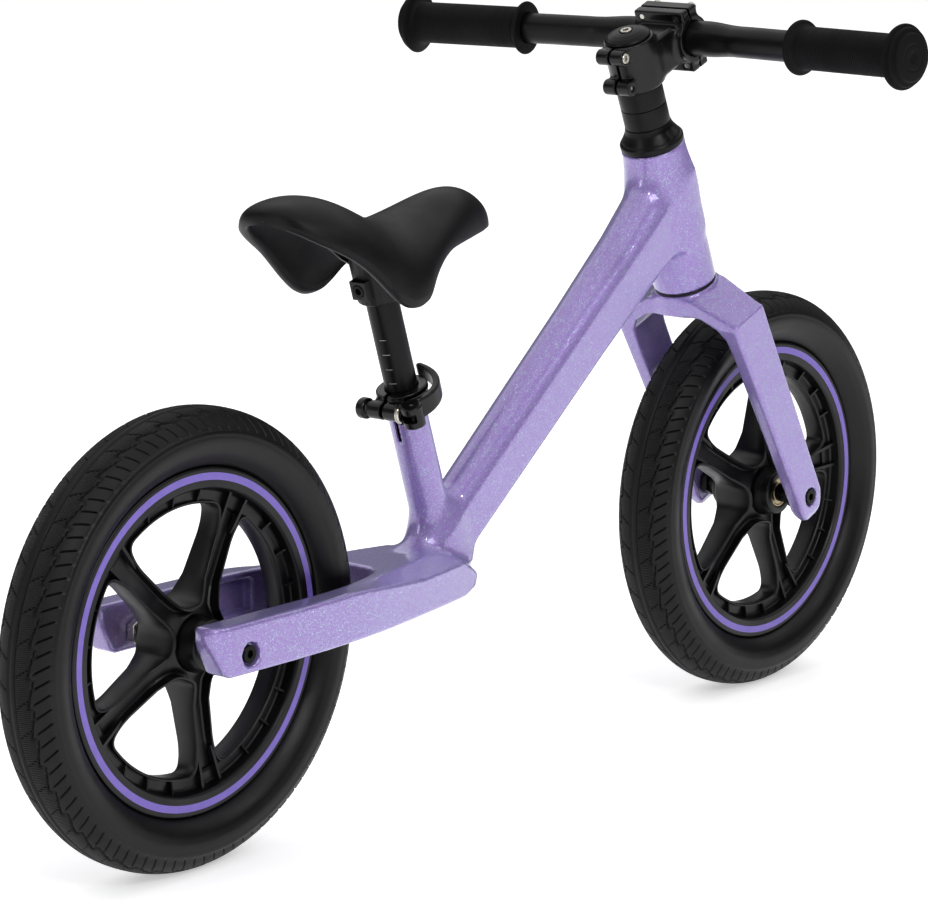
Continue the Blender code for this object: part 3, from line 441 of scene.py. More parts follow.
# glass-filled nylon of the wheels: spark-eroded mould texture, grain about 0.6 mm, which breaks up the
# highlights along the spokes
NYLON = grained("moulded_nylon", "#08080A", 0.38, 0.0, 0.6, 0.04, 0.22)
# polypropylene base of the saddle, duller and a little greyer
SHELL = grained("moulded_polypropylene", "#0B0B0C", 0.48, 0.0, 0.8, 0.04, 0.3)
# soft synthetic rubber of the grips: almost no highlight
GRIP_RUBBER = grained("grip_rubber", "#09090A", 0.62, 0.0, 0.5, 0.04, 0.35, Specular_IOR_Level=0.22)
# integral-skin foam of the saddle: leather-like pebbles just under a millimetre
SKIN = grained("grained_foam_skin", "#09090A", 0.42, 0.0, 0.80, 0.16, 0.70, 0.06, cells=True,
               Specular_IOR_Level=0.32)
# steel parts: bright zinc that mirrors the room, a warmer passivated zinc, and black oxide that stays
# slightly glossy from its oil
BRIGHT = grained("zinc_plated_steel", "#C9C6BE", 0.26, 1.0, 0.4, 0.02, 0.12)
BRONZE = grained("passivated_steel", "#A89A80", 0.30, 1.0, 0.4, 0.02, 0.12)
OXIDE = grained("black_oxide_steel", "#101012", 0.32, 0.6, 0.4, 0.02, 0.15)
# lilac ink of the rim's stripe, printed on nylon: smooth, with a slightly uneven cover
INK, tree, shader = new_finish("lilac_printed_ink", "#7C69BC", 0.32, 0.0)
where = add(tree, "TexCoord").outputs["Object"]
mottle = add(tree, "TexNoise", {"Vector": where, "Scale": 160.0, "Detail": 2.0})
tone = add(tree, "Mix", {"Factor": mottle.outputs["Fac"], "A": hex_colour("#7966BA"),
                         "B": hex_colour("#8875C6")}, data_type="RGBA")
tree.links.new(tone.outputs["Result"], shader.inputs["Base Color"])
# pale ink of the post's height marks: matt, so that they can be read
CHALK = grained("pale_printed_ink", "#C9C9C9", 0.5, 0.0, 0.5, 0.01, 0.1)

# %% [markdown]
# ### Tyre rubber
# Tyre rubber is carbon black in a warm brown oil, so it is a very dark brown. The side walls are smooth
# from the mould and shine softly; the tread blocks carry a fine hatch a little over a millimetre apart.
# The surface's own map gives the distance round and across the tyre, so the hatch follows the tread.

# %% Tyre rubber
RIB_EDGE, TREAD_EDGE = 0.0034, 0.0132
RUBBER, tree, shader = new_finish("vulcanised_rubber", "#0C0A09", 0.5, Specular_IOR_Level=0.4)
across = add(tree, "SeparateXYZ", {"Vector": add(tree, "UVMap", uv_map="UVMap").outputs[0]})
side = add(tree, "Math", {0: across.outputs["Y"]}, operation="ABSOLUTE").outputs[0]
on_tread = add(tree, "MapRange", {"Value": side, "From Min": TREAD_EDGE, "From Max": TREAD_EDGE + 0.0006,
                                  "To Min": 1.0, "To Max": 0.0}).outputs[0]
off_rib = add(tree, "MapRange", {"Value": side, "From Min": RIB_EDGE, "From Max": RIB_EDGE + 0.0004,
                                 "To Min": 0.0, "To Max": 1.0}).outputs[0]
zone = add(tree, "Math", {0: on_tread, 1: off_rib}, operation="MULTIPLY").outputs[0]
run = add(tree, "Math", {0: across.outputs["X"], 1: 2 * pi / 0.0013}, operation="MULTIPLY").outputs[0]
skew = add(tree, "Math", {0: side, 1: 2 * pi / 0.0026, 2: run}, operation="MULTIPLY_ADD").outputs[0]
lines = add(tree, "Math", {0: skew}, operation="SINE").outputs[0]
hatch = add(tree, "Math", {0: lines, 1: zone}, operation="MULTIPLY")
where = add(tree, "TexCoord").outputs["Object"]
pores = add(tree, "TexNoise", {"Vector": where, "Scale": 1600.0, "Detail": 2.0}).outputs["Fac"]
height = add(tree, "Math", {0: pores, 1: 0.35, 2: hatch.outputs[0]}, operation="MULTIPLY_ADD").outputs[0]
lumps = add(tree, "Bump", {"Height": height, "Strength": 0.9, "Distance": 0.00035})
tree.links.new(lumps.outputs[0], shader.inputs["Normal"])
slow = add(tree, "TexNoise", {"Vector": where, "Scale": 45.0, "Detail": 3.0}).outputs["Fac"]
soft = add(tree, "MapRange", {"Value": slow, "From Min": 0.3, "From Max": 0.7,
                              "To Min": 0.30, "To Max": 0.40})
dull = add(tree, "MapRange", {"Value": side, "From Min": 0.024, "From Max": 0.027,
                              "To Min": 0.18, "To Max": 0.0})
rough = add(tree, "Math", {0: soft.outputs[0], 1: dull.outputs[0]})
tree.links.new(rough.outputs[0], shader.inputs["Roughness"])
print("finishes:", len(bpy.data.materials))

# %% [markdown]
# ## Tyres
# The tread could be bump alone, but its grooves show against the light at the tyre's edge, so they are
# real. The tyre is one grid: the first parameter goes round the wheel, the second round the section.
# A groove lowers the surface where a pattern function of the two says so. The columns of the grid are
# sheared to lie along the slanting shoulder cuts, so that each cut is a clean pair of columns.

# %% The tyre's section and its pattern
SIPES = 96


def smooth_line(x, xs, ys):
    """Natural cubic spline through (xs, ys): the curve of a thin batten held at those points."""
    xs, ys = np.asarray(xs, float), np.asarray(ys, float)
    h, n = np.diff(xs), len(xs)
    a, b = np.eye(n), np.zeros(n)
    for i in range(1, n - 1):
        a[i, i - 1:i + 2] = h[i - 1], 2 * (h[i - 1] + h[i]), h[i]
        b[i] = 6 * ((ys[i + 1] - ys[i]) / h[i] - (ys[i] - ys[i - 1]) / h[i - 1])
    m = np.linalg.solve(a, b)
    k = np.clip(np.searchsorted(xs, x) - 1, 0, n - 2)
    u, v, w = x - xs[k], xs[k + 1] - x, h[k]
    bend = (m[k] * v ** 3 + m[k + 1] * u ** 3) / (6 * w)
    return bend + (ys[k] / w - m[k] * w / 6) * v + (ys[k + 1] / w - m[k + 1] * w / 6) * u


def groove(distance, half, depth):
    """Depth of a groove with a flat floor and sloping walls, from the distance to its middle line."""
    return depth * np.clip((half - np.abs(distance)) / (0.45 * half), 0, 1)


def tyre(columns=SIPES * 10):
    """Radius and side of the section against arc length, lowered by the tread's grooves."""
    half_y = [0, 0.006, 0.0105, 0.0148, 0.0185, 0.0214, 0.0230,
              0.0236, 0.0229, 0.0215, 0.0192, 0.0165, 0.0138, 0.0128]
    half_r = [0.1500, 0.1496, 0.1484, 0.1461, 0.1428, 0.1386, 0.1345,
              0.1306, 0.1255, 0.1219, 0.1183, 0.1152, 0.1133, 0.1129]
    arc = np.concatenate([[0], np.cumsum(np.hypot(np.diff(half_y), np.diff(half_r)))])
    fine = np.concatenate([np.arange(0, 0.0285, 0.00095), np.linspace(0.0290, arc[-1], 17)])
    y, r = smooth_line(fine, arc, half_y), smooth_line(fine, arc, half_r)
    a = np.concatenate([-fine[::-1], fine[1:]])
    y, r = np.concatenate([-y[::-1], y[1:]]), np.concatenate([r[::-1], r[1:]])
    inner_y = np.array([0.0119, 0.0119, 0.0086, 0.0086, 0.0140, 0.0190, 0.0196, 0.0160, 0.0080])
    inner_r = np.array([0.1124, 0.1058, 0.1058, 0.1130, 0.1180, 0.1260, 0.1320, 0.1405, 0.1455])
    y = np.concatenate([y, inner_y, -inner_y[::-1]])
    r = np.concatenate([r, inner_r, inner_r[::-1]])
    a = np.concatenate([a, np.full(2 * len(inner_y), 0.05)])
    size = np.abs(a)
    turn = np.linspace(0, 2 * pi, columns, endpoint=False)[:, None]
    pitch = 2 * pi / SIPES
    slope = np.interp(size, [0.0034, 0.0150, 0.0270, 0.0330, 0.0440], [0, 0.8, 1.5, 1.5, 0]) * pitch
    phase = turn / pitch
    hand = np.where(a > 0, 0.5, 0)
    saw = (phase / 2 + hand) % 1
    wave = np.where(saw < 0.8, 2 * saw / 0.8 - 1, 1 - 2 * (saw - 0.8) / 0.2)
    zigzag = groove(size - 0.0140 - 0.0019 * wave, 0.00080, 0.0011)
    centre = groove(size - 0.0023, 0.0008, 0.0010)
    shoulder = groove(((phase + 0.5) % 1 - 0.5) * pitch * 0.14, 0.00078, 0.0011)
    shoulder = shoulder * np.clip((size - 0.0150) / 0.0008, 0, 1) * np.clip((0.0272 - size) / 0.0012, 0, 1)
    cross = groove(((phase / 2 + 0.25 + hand) % 1 - 0.5) * 2 * pitch * 0.147, 0.0007, 0.0009)
    cross = cross * np.clip((size - 0.0034) / 0.0006, 0, 1) * np.clip((0.0150 - size) / 0.0006, 0, 1)
    sink = np.maximum(np.maximum(zigzag, centre), np.maximum(shoulder, cross)) * (size < 0.029)
    ridge = 0.0007 * np.exp(-((size - 0.0292) / 0.0007) ** 2)
    ridge = ridge + 0.0005 * np.exp(-((size - 0.0385) / 0.0005) ** 2)
    ny, nr = np.gradient(r), -np.gradient(y)
    length = np.hypot(ny, nr) + 1e-12
    out = np.where(size < 0.045, 1.0, 0.0) * np.sign(nr * r + ny * y + 1e-9)
    lift = (ridge - sink)
    rr = r + 0 * turn + lift * out * nr / length
    yy = y + 0 * turn + lift * out * ny / length
    angle = turn + slope
    pts = np.stack([rr * np.cos(angle), rr * np.sin(angle), yy], -1)
    n, m = pts.shape[:2]
    u = (np.arange(n + 1) / n * 2 * pi * WHEEL_R)[:, None] + 0 * a
    i, j = np.meshgrid(np.arange(n), np.arange(m), indexing="ij")
    i, j = i.ravel(), j.ravel()
    uv_u = np.stack([u[i, j], u[i, (j + 1) % m], u[i + 1, (j + 1) % m], u[i + 1, j]], -1)
    uv_v = np.stack([a[j], a[(j + 1) % m], a[(j + 1) % m], a[j]], -1)
    return pts.reshape(-1, 3), grid_faces(n, m), np.stack([uv_u, uv_v], -1)


tyre_points, tyre_faces, tyre_map = tyre()
for label, centre in (("rear", REAR), ("front", FRONT)):
    place(label + "_tyre_tread", carry(tyre_points, sideways(centre)), tyre_faces, label + "_wheel", RUBBER,
          [label + "_tyre"], tyre_map, sharp=50)
print("tyre faces:", len(tyre_faces), "radius", np.hypot(*tyre_points.T[:2]).max().round(4))

# %% [markdown]
# ## Wheels
# Each wheel is one nylon moulding: a deep rim, five spokes and a hub. The five openings rule its look.
# Each opening's outline is where the smooth maximum of four limits is zero: the rim's inner circle, the
# hub's circle and the two spokes' edges. Ribs follow that outline at full height and the web between
# them is sunk, so the plate between openings is swept outwards from the outline: first straight out
# along its normal for the rib, then on to the middle line of the spoke.

# %% One sector of the spoked plate
SPOKES = 5
SECTOR = 2 * pi / SPOKES


def opening_limit(x, y, k=0.0055):
    """Smooth maximum of: outside the rim's inner circle, inside the hub's, and closer to a spoke's middle
    line than half its width, which swells at both ends."""
    r, t = np.hypot(x, y), np.arctan2(y, x)
    near_hub, near_rim = np.clip((0.040 - r) / 0.022, 0, 1), np.clip((r - 0.066) / 0.024, 0, 1)
    half = 0.0080 + 0.0022 * near_hub ** 2 + 0.0060 * near_rim ** 2
    side_a, side_b = half - r * np.sin(t), half - r * np.sin(SECTOR - t)
    return both(both(both(r - 0.0882, 0.0255 - r, k), side_a, k), side_b, k)


def sector_limit(x, y):
    """The sector itself: between two spokes' middle lines, the hub's wall and the rim's wall."""
    r, t = np.hypot(x, y), np.arctan2(y, x)
    return np.maximum(np.maximum(r - 0.0925, 0.0125 - r), np.maximum(-r * np.sin(t), -r * np.sin(SECTOR - t)))


def reach(limit, centre, directions, far=0.08):
    """How far each ray from the centre goes before the limit turns positive, by halving the interval."""
    lo, hi = np.zeros(len(directions)), np.full(len(directions), far)
    for _ in range(40):
        mid = (lo + hi) / 2
        p = centre + directions * mid[:, None]
        inside = limit(p[:, 0], p[:, 1]) < 0
        lo, hi = np.where(inside, mid, lo), np.where(inside, hi, mid)
    return lo


def rise(r, table):
    """Height against radius, straight between the table's rows."""
    return np.interp(r, *np.array(table).T)


def spoked_plate(around=132):
    """Both faces of the five sectors as closed tubes: the section goes out over one face and back over
    the other, and it is carried round the opening."""
    middle = 0.060 * np.array([cos(SECTOR / 2), sin(SECTOR / 2)])
    ray = np.linspace(0, 2 * pi, around, endpoint=False)
    ray = ray + 0.10 * np.sin(2 * (ray - SECTOR / 2))
    d = np.stack([np.cos(ray), np.sin(ray)], -1)
    edge = middle + d * reach(opening_limit, middle, d)[:, None]
    outer = middle + d * reach(sector_limit, middle, d)[:, None]
    tangent = np.roll(edge, -1, 0) - np.roll(edge, 1, 0)
    normal = np.stack([tangent[:, 1], -tangent[:, 0]], -1)
    normal /= np.linalg.norm(normal, axis=1)[:, None]
    room = np.einsum("ij,ij->i", outer - edge, normal)
    out = np.array([0.0, 0.0004, 0.0009, 0.0020, 0.0025, 0.0029, 0.0040])
    limit = np.minimum(1.0, (0.75 * np.maximum(room, 0.001) / out[-1]))[:, None]
    near = edge[:, None] + normal[:, None] * (out[None, :] * limit)[..., None]
    t = np.linspace(0, 1, 8)[1:][None, :, None]
    far = near[:, -1:] + (outer[:, None] - near[:, -1:]) * t
    flat = np.concatenate([near, far], 1)
    r = np.hypot(flat[..., 0], flat[..., 1])
    rib = rise(r, [(0.012, 0.0205), (0.019, 0.0195), (0.028, 0.0145), (0.042, 0.0102), (0.078, 0.0082),
                   (0.094, 0.0080)])
    web = rise(r, [(0.012, 0.0150), (0.019, 0.0120), (0.027, 0.0072), (0.042, 0.0040), (0.078, 0.0034),
                   (0.094, 0.0034)])
    share = np.array([1, 1, 1, 1, 0.55, 0.12] + [0] * 8)[None, :]
    drop = np.array([0.0009, 0.0003] + [0] * 12)[None, :]
    z = web + (rib - web) * share - drop
    top = np.concatenate([flat, z[..., None]], -1)
    low = top[:, ::-1] * np.array([1, 1, -1])
    loop = np.concatenate([top, low], 1)
    parts = []
    for k in range(SPOKES):
        parts.append((turned_by(loop, k * SECTOR).reshape(-1, 3), grid_faces(around, loop.shape[1])))
    return join(parts)


print("one sector:", round(SECTOR * 180 / pi), "degrees")

# %% [markdown]
# The rim is turned: a flange with a flat face for the stripe, a bevel, and a sunk shelf where the spokes
# arrive. Thin fins stiffen the shelf. The hub is turned too, with a pocket at each end for its bearing.

# %% Rim, hub, fins and stripe
RIM = [(0.0880, 0.0048), (0.0900, 0.0056), (0.0962, 0.0058), (0.0974, 0.0066), (0.0984, 0.0130),
       (0.0996, 0.0146), (0.1112, 0.0148), (0.1124, 0.0142), (0.1125, 0.0128), (0.1050, 0.0126),
       (0.1038, 0.0060)]
HUB = [(0.0072, 0.0188), (0.0113, 0.0188), (0.0113, 0.0258), (0.0120, 0.0262), (0.0152, 0.0262),
       (0.0166, 0.0252), (0.0172, 0.0205), (0.0190, 0.0150)]


def fin(angle, r0=0.0885, r1=0.0992, low=0.0040, high=0.0108, half=0.0007):
    """A thin wall on the shelf: a box whose top slopes down towards the hub."""
    step = low + 0.003
    corners = np.array([[r0, -half, low], [r1, -half, low], [r1, half, low], [r0, half, low],
                        [r0, -half, step], [r1, -half, high], [r1, half, high], [r0, half, step]])
    faces = np.array([[0, 3, 2, 1], [4, 5, 6, 7], [0, 1, 5, 4], [1, 2, 6, 5], [2, 3, 7, 6], [3, 0, 4, 7]])
    return turned_by(corners, angle), faces


def wheel(spoke_angle):
    """Rim, plate, hub, thin fins and the ribs along each spoke's edges, turned to the spoke's angle."""
    ring = ease(both_sides(RIM), 0.0007, 3, closed=True)
    hub = ease(both_sides(HUB), 0.0006, 3, closed=True)
    parts = [turned(ring, UP, 144, ring=True), spoked_plate(), turned(hub, UP, 72, ring=True)]
    walls = [(part * SECTOR, {}) for part in (0.30, 0.50, 0.70)]
    walls += [(edge, dict(r0=0.0740, low=0.0045, high=0.0100, half=0.0011)) for edge in (-0.084, 0.084)]
    for k in range(SPOKES):
        for angle, sizes in walls:
            for flip in (1, -1):
                p, q = fin(k * SECTOR + angle, **sizes)
                parts.append((p * [1, 1, flip], q if flip == 1 else q[:, ::-1]))
    points, faces = join(parts)
    return turned_by(points, -spoke_angle), faces


for label, centre, spoke in (("rear", REAR, radians(63.5)), ("front", FRONT, radians(7.5))):
    points, faces = wheel(spoke)
    place(label + "_moulded_wheel", carry(points, sideways(centre)), faces, label + "_wheel", NYLON,
          [label + "_rim"], sharp=35)
    for sign, hand in ((-1, "right"), (1, "left")):
        stripe = [(0.1042, 0.0145), (0.1042, 0.01485), (0.1090, 0.01490), (0.1090, 0.0145)]
        p, q = turned(np.array(stripe) * [1, sign], sideways(centre), 180, ring=True)
        place(f"{label}_stripe_{hand}", p, q, label + "_wheel", INK)
        race = np.array([(0.0054, 0.0254), (0.0066, 0.0254), (0.0069, 0.0249), (0.0094, 0.0249),
                         (0.0097, 0.0254), (0.0109, 0.0254), (0.0109, 0.0198), (0.0054, 0.0198)])
        p, q = turned(ease(race * [1, sign], 0.0002, 2, closed=True), sideways(centre), 72, ring=True)
        place(f"{label}_ball_bearing_{hand}", p, q, label + "_wheel", BRONZE, [f"{label}_bearing_{hand}"])
print("wheel faces:", len(faces))

# %% [markdown]
# ## Frame casting
# The frame is drawn as fields in the bike's own frame. The main tube has a crease along each flank, a
# rounded back and a flatter belly. The yoke and rear arms are where a plan outline and a side outline
# overlap. The head tube and seat tube are round bars. Fillets between them come from the smooth minimum.

# %% The frame's outlines
TUBE_TILT, TUBE_POINT = radians(39.0), (0.094, 0.298)


def curve_through(points, count):
    """A smooth run through corner points, by a batten curve in the length along them."""
    p = np.array(points)
    s = np.concatenate([[0], np.cumsum(np.hypot(*np.diff(p, axis=0).T))])
    t = np.linspace(0, s[-1], count)
    return np.stack([smooth_line(t, s, p[:, 0]), smooth_line(t, s, p[:, 1])], -1)


arm_outer = curve_through([(-0.3200, 0.0598), (-0.2650, 0.0598), (-0.2200, 0.0576), (-0.1780, 0.0530),
                           (-0.1200, 0.0424), (-0.0660, 0.0306), (-0.0500, 0.0262)], 22)
arm_end = curve_through([(-0.3465, 0.0430), (-0.3480, 0.0490), (-0.3440, 0.0556), (-0.3340, 0.0592),
                         (-0.3200, 0.0598)], 9)
well = curve_through([(-0.1500, 0.0), (-0.1506, 0.0130), (-0.1545, 0.0228), (-0.1660, 0.0290),
                      (-0.1850, 0.0340), (-0.2100, 0.0382), (-0.2350, 0.0400)], 20)
half_plan = np.concatenate([arm_end[:-1], arm_outer, [(-0.0462, 0.0240), (-0.0448, 0.0180)]])
inner = np.concatenate([[(-0.3440, 0.0402)], well[::-1][:-1]])
OUTER_PLAN = both_sides(half_plan)
PLAN = np.concatenate([OUTER_PLAN, inner * [1, -1], well[:1], inner[::-1]])
SIDE = np.array([(-0.3315, 0.1376), (-0.0640, 0.1376), (-0.0500, 0.1408), (-0.0452, 0.1452),
                 (-0.0475, 0.1500), (-0.0700, 0.1655), (-0.0880, 0.1705), (-0.1150, 0.1712),
                 (-0.3440, 0.1712), (-0.3470, 0.1690), (-0.3480, 0.1640), (-0.3360, 0.1400)])


def main_tube_field(x, y, z):
    """In the tube's own section: below the crease a flank that narrows downwards, above it part of an
    ellipse that meets the flank at 20 degrees, and a flat belly; sizes follow the length."""
    dx, dz = x - TUBE_POINT[0], z - TUBE_POINT[1]
    along, n = dx * cos(TUBE_TILT) + dz * sin(TUBE_TILT), -dx * sin(TUBE_TILT) + dz * cos(TUBE_TILT)
    at = [-0.2435, -0.1895, 0.0, 0.0722, 0.1134, 0.1332, 0.150]
    a = np.interp(along, at, [0.0150, 0.0155, 0.0170, 0.0186, 0.0200, 0.0208, 0.0210])
    up = np.interp(along, at, [0.0180, 0.0222, 0.0243, 0.0262, 0.0306, 0.0385, 0.0440])
    down = np.interp(along, at, [0.0205, 0.0212, 0.0224, 0.0236, 0.0250, 0.0262, 0.0262])
    crease, side = 0.38 * up, np.abs(y)
    qy, qn = side / (1.1425 * a), np.maximum(n + 0.2 * up, 1e-4) / (1.2 * up)
    round_ = np.sqrt(qy * qy + qn * qn)
    back = round_ * (round_ - 1) / np.sqrt((qy / (1.1425 * a)) ** 2 + (qn / (1.2 * up)) ** 2)
    flank = side - a + np.maximum(crease - n, 0) * 0.075
    belly = -n - down
    tube = both(both(back, flank, 0.0007), belly, 0.0040)
    return np.maximum(tube, np.maximum(-0.238 - along, along - 0.146))


def frame_field(x, y, z):
    """Every limb of the casting joined by smooth minima, then cut for the axle bolts, panels and slot."""
    hx, hz = x - HEAD_FOOT[0], z - HEAD_FOOT[2]
    w, s = hx * cos(HEAD_TILT) + hz * sin(HEAD_TILT), -hx * sin(HEAD_TILT) + hz * cos(HEAD_TILT)
    tube = both(main_tube_field(x, y, z), w - 0.0120, 0.0060)
    head = rod_field(s, np.sqrt(w * w + y * y), 0.1912, 0.3026, HEAD_TUBE_R, 0.0010)
    tx, tz = x - SEAT_TOP[0], z - SEAT_TOP[2]
    v, t = tx * cos(SEAT_TILT) + tz * sin(SEAT_TILT), -tx * sin(SEAT_TILT) + tz * cos(SEAT_TILT)
    radial = np.sqrt(v * v + y * y)
    grow = 0.0050 * np.clip((-0.070 - t) / 0.04, 0, 1) ** 2
    seat = rod_field(t, radial, -0.112, 0.0200, SEAT_TUBE_R + grow, 0.0008)
    rim = outline_field(x, y, OUTER_PLAN)
    fall = 0.60 * np.clip((x + 0.215) / 0.090, 0, 1)
    shoulder = (z - 0.1712 + fall * np.maximum(0.0150 + rim, 0)) * 0.90
    yoke = both(both(outline_field(x, y, PLAN), outline_field(x, z, SIDE), 0.0034), shoulder, 0.0012)
    body = blend(tube, yoke, 0.0030 + 0.0070 * np.clip((-0.062 - x) / 0.030, 0, 1))
    body = blend(body, seat, 0.014)
    body = blend(body, head, 0.010 + 0.005 * np.clip((s - 0.250) / 0.030, 0, 1))
    side = np.abs(y)
    panel = block_field(x, side, z, (-0.2510, 0.0360, 0.1550), (0.0450, 0.0095, 0.0110), 0.0020)
    body = both(body, -panel, 0.0008)
    bolt_r = np.sqrt((x - REAR[0]) ** 2 + (z - REAR[2]) ** 2)
    body = both(body, -rod_field(side, bolt_r, 0.0545, 0.0700, 0.0080, 0.0002), 0.0008)
    body = both(body, -rod_field(side, bolt_r, 0.0300, 0.0700, 0.0033, 0.0002), 0.0004)
    slot = np.maximum(np.maximum(np.abs(y) - 0.0016, -0.0125 - t), v + 0.004)
    body = both(body, -slot, 0.0006)
    bore = rod_field(t, radial, -0.100, 0.0400, 0.0114, 0.0004)
    body = both(body, -bore, 0.0006)
    bore = np.minimum(rod_field(s, np.sqrt(w * w + y * y), 0.15, 0.35, 0.0175, 0.0002),
                      np.minimum(rod_field(s, np.sqrt(w * w + y * y), 0.15, 0.1990, 0.0208, 0.0002),
                                 rod_field(s, np.sqrt(w * w + y * y), 0.2948, 0.35, 0.0208, 0.0002)))
    return both(body, -bore, 0.0006)


lattice = [marks(-0.349, 0.245, 0.0021, 0.0012, [(-0.135, -0.060), (0.160, 0.250)]),
           marks(-0.061, 0.061, 0.0021, 0.0012, [(-0.027, 0.027)]),
           marks(0.137, 0.432, 0.0015, 0.0012, [(0.170, 0.285)])]
points, faces = skin(frame_field, None, None, 0.0013, lattice)
place("frame_casting", points, faces, "frame", PEARL, ["frame"], sharp=60)
print("frame faces:", len(faces))

# %% [markdown]
# ## Fork casting
# The fork is drawn in the head's own frame. Seen from the front it is a flat-sided arch, and seen from
# the side its legs taper and sweep forward; the casting is where the two outlines overlap. The arch
# keeps its crease at the shoulder because an outline's corner stays a corner.

# %% The fork's field
half_arch = [(0.0, 0.1880), (0.0200, 0.1862), (0.0552, 0.1690), (0.0549, 0.1500), (0.0543, 0.0),
             (0.0530, -0.0130), (0.0505, -0.0188), (0.0460, -0.0188), (0.0428, -0.0120), (0.0422, 0.0),
             (0.0424, 0.1400), (0.0412, 0.1560), (0.0360, 0.1645), (0.0240, 0.1715), (0.0, 0.1745)]
ARCH = half_arch + [(-u, v) for u, v in half_arch[-2:0:-1]]
BLADE = [(-0.0224, 0.1950), (-0.0224, 0.1652), (0.0063, 0.0010), (0.0072, -0.0070), (0.0112, -0.0160),
         (0.0150, -0.0188), (0.0262, -0.0188), (0.0303, -0.0165), (0.0342, -0.0080), (0.0353, 0.0),
         (0.0168, 0.1570), (0.0150, 0.1700), (0.0220, 0.1880), (0.0222, 0.1950)]


def fork_field(w, y, s):
    """The overlap of the arch seen from the front and the blade seen from the side, a round crown boss
    joined to it by a fillet, and the sunk seats of the axle bolts cut out."""
    legs = both(outline_field(y, s, ARCH), outline_field(w, s, BLADE), 0.0030)
    radial = np.sqrt(w * w + y * y)
    boss = rod_field(s, radial, 0.1740, 0.1890, 0.0232, 0.0008)
    body = blend(legs, boss, 0.0050)
    body = np.maximum(body, s - 0.1890)
    bolt_r = np.sqrt((w - RAKE) ** 2 + s ** 2)
    side = np.abs(y)
    body = both(body, -rod_field(side, bolt_r, 0.0500, 0.0700, 0.0072, 0.0002), 0.0007)
    body = both(body, -rod_field(side, bolt_r, 0.0300, 0.0700, 0.0033, 0.0002), 0.0004)
    return both(body, -(radial - 0.0146), 0.0004)


points, faces = skin(fork_field, (-0.023, -0.056, -0.019), (0.036, 0.056, 0.190), 0.0012)
place("fork_casting", carry(points, HEAD), faces, "steering", PEARL, ["fork"], sharp=60)
print("fork faces:", len(faces))

# %% [markdown]
# ## Headset, post and the small turned parts
# These are all lathe work, so one table lists them: name, body, the CAD nodes they stand for, finish,
# slot and profile. Heights are along the head axis or the seat tube.

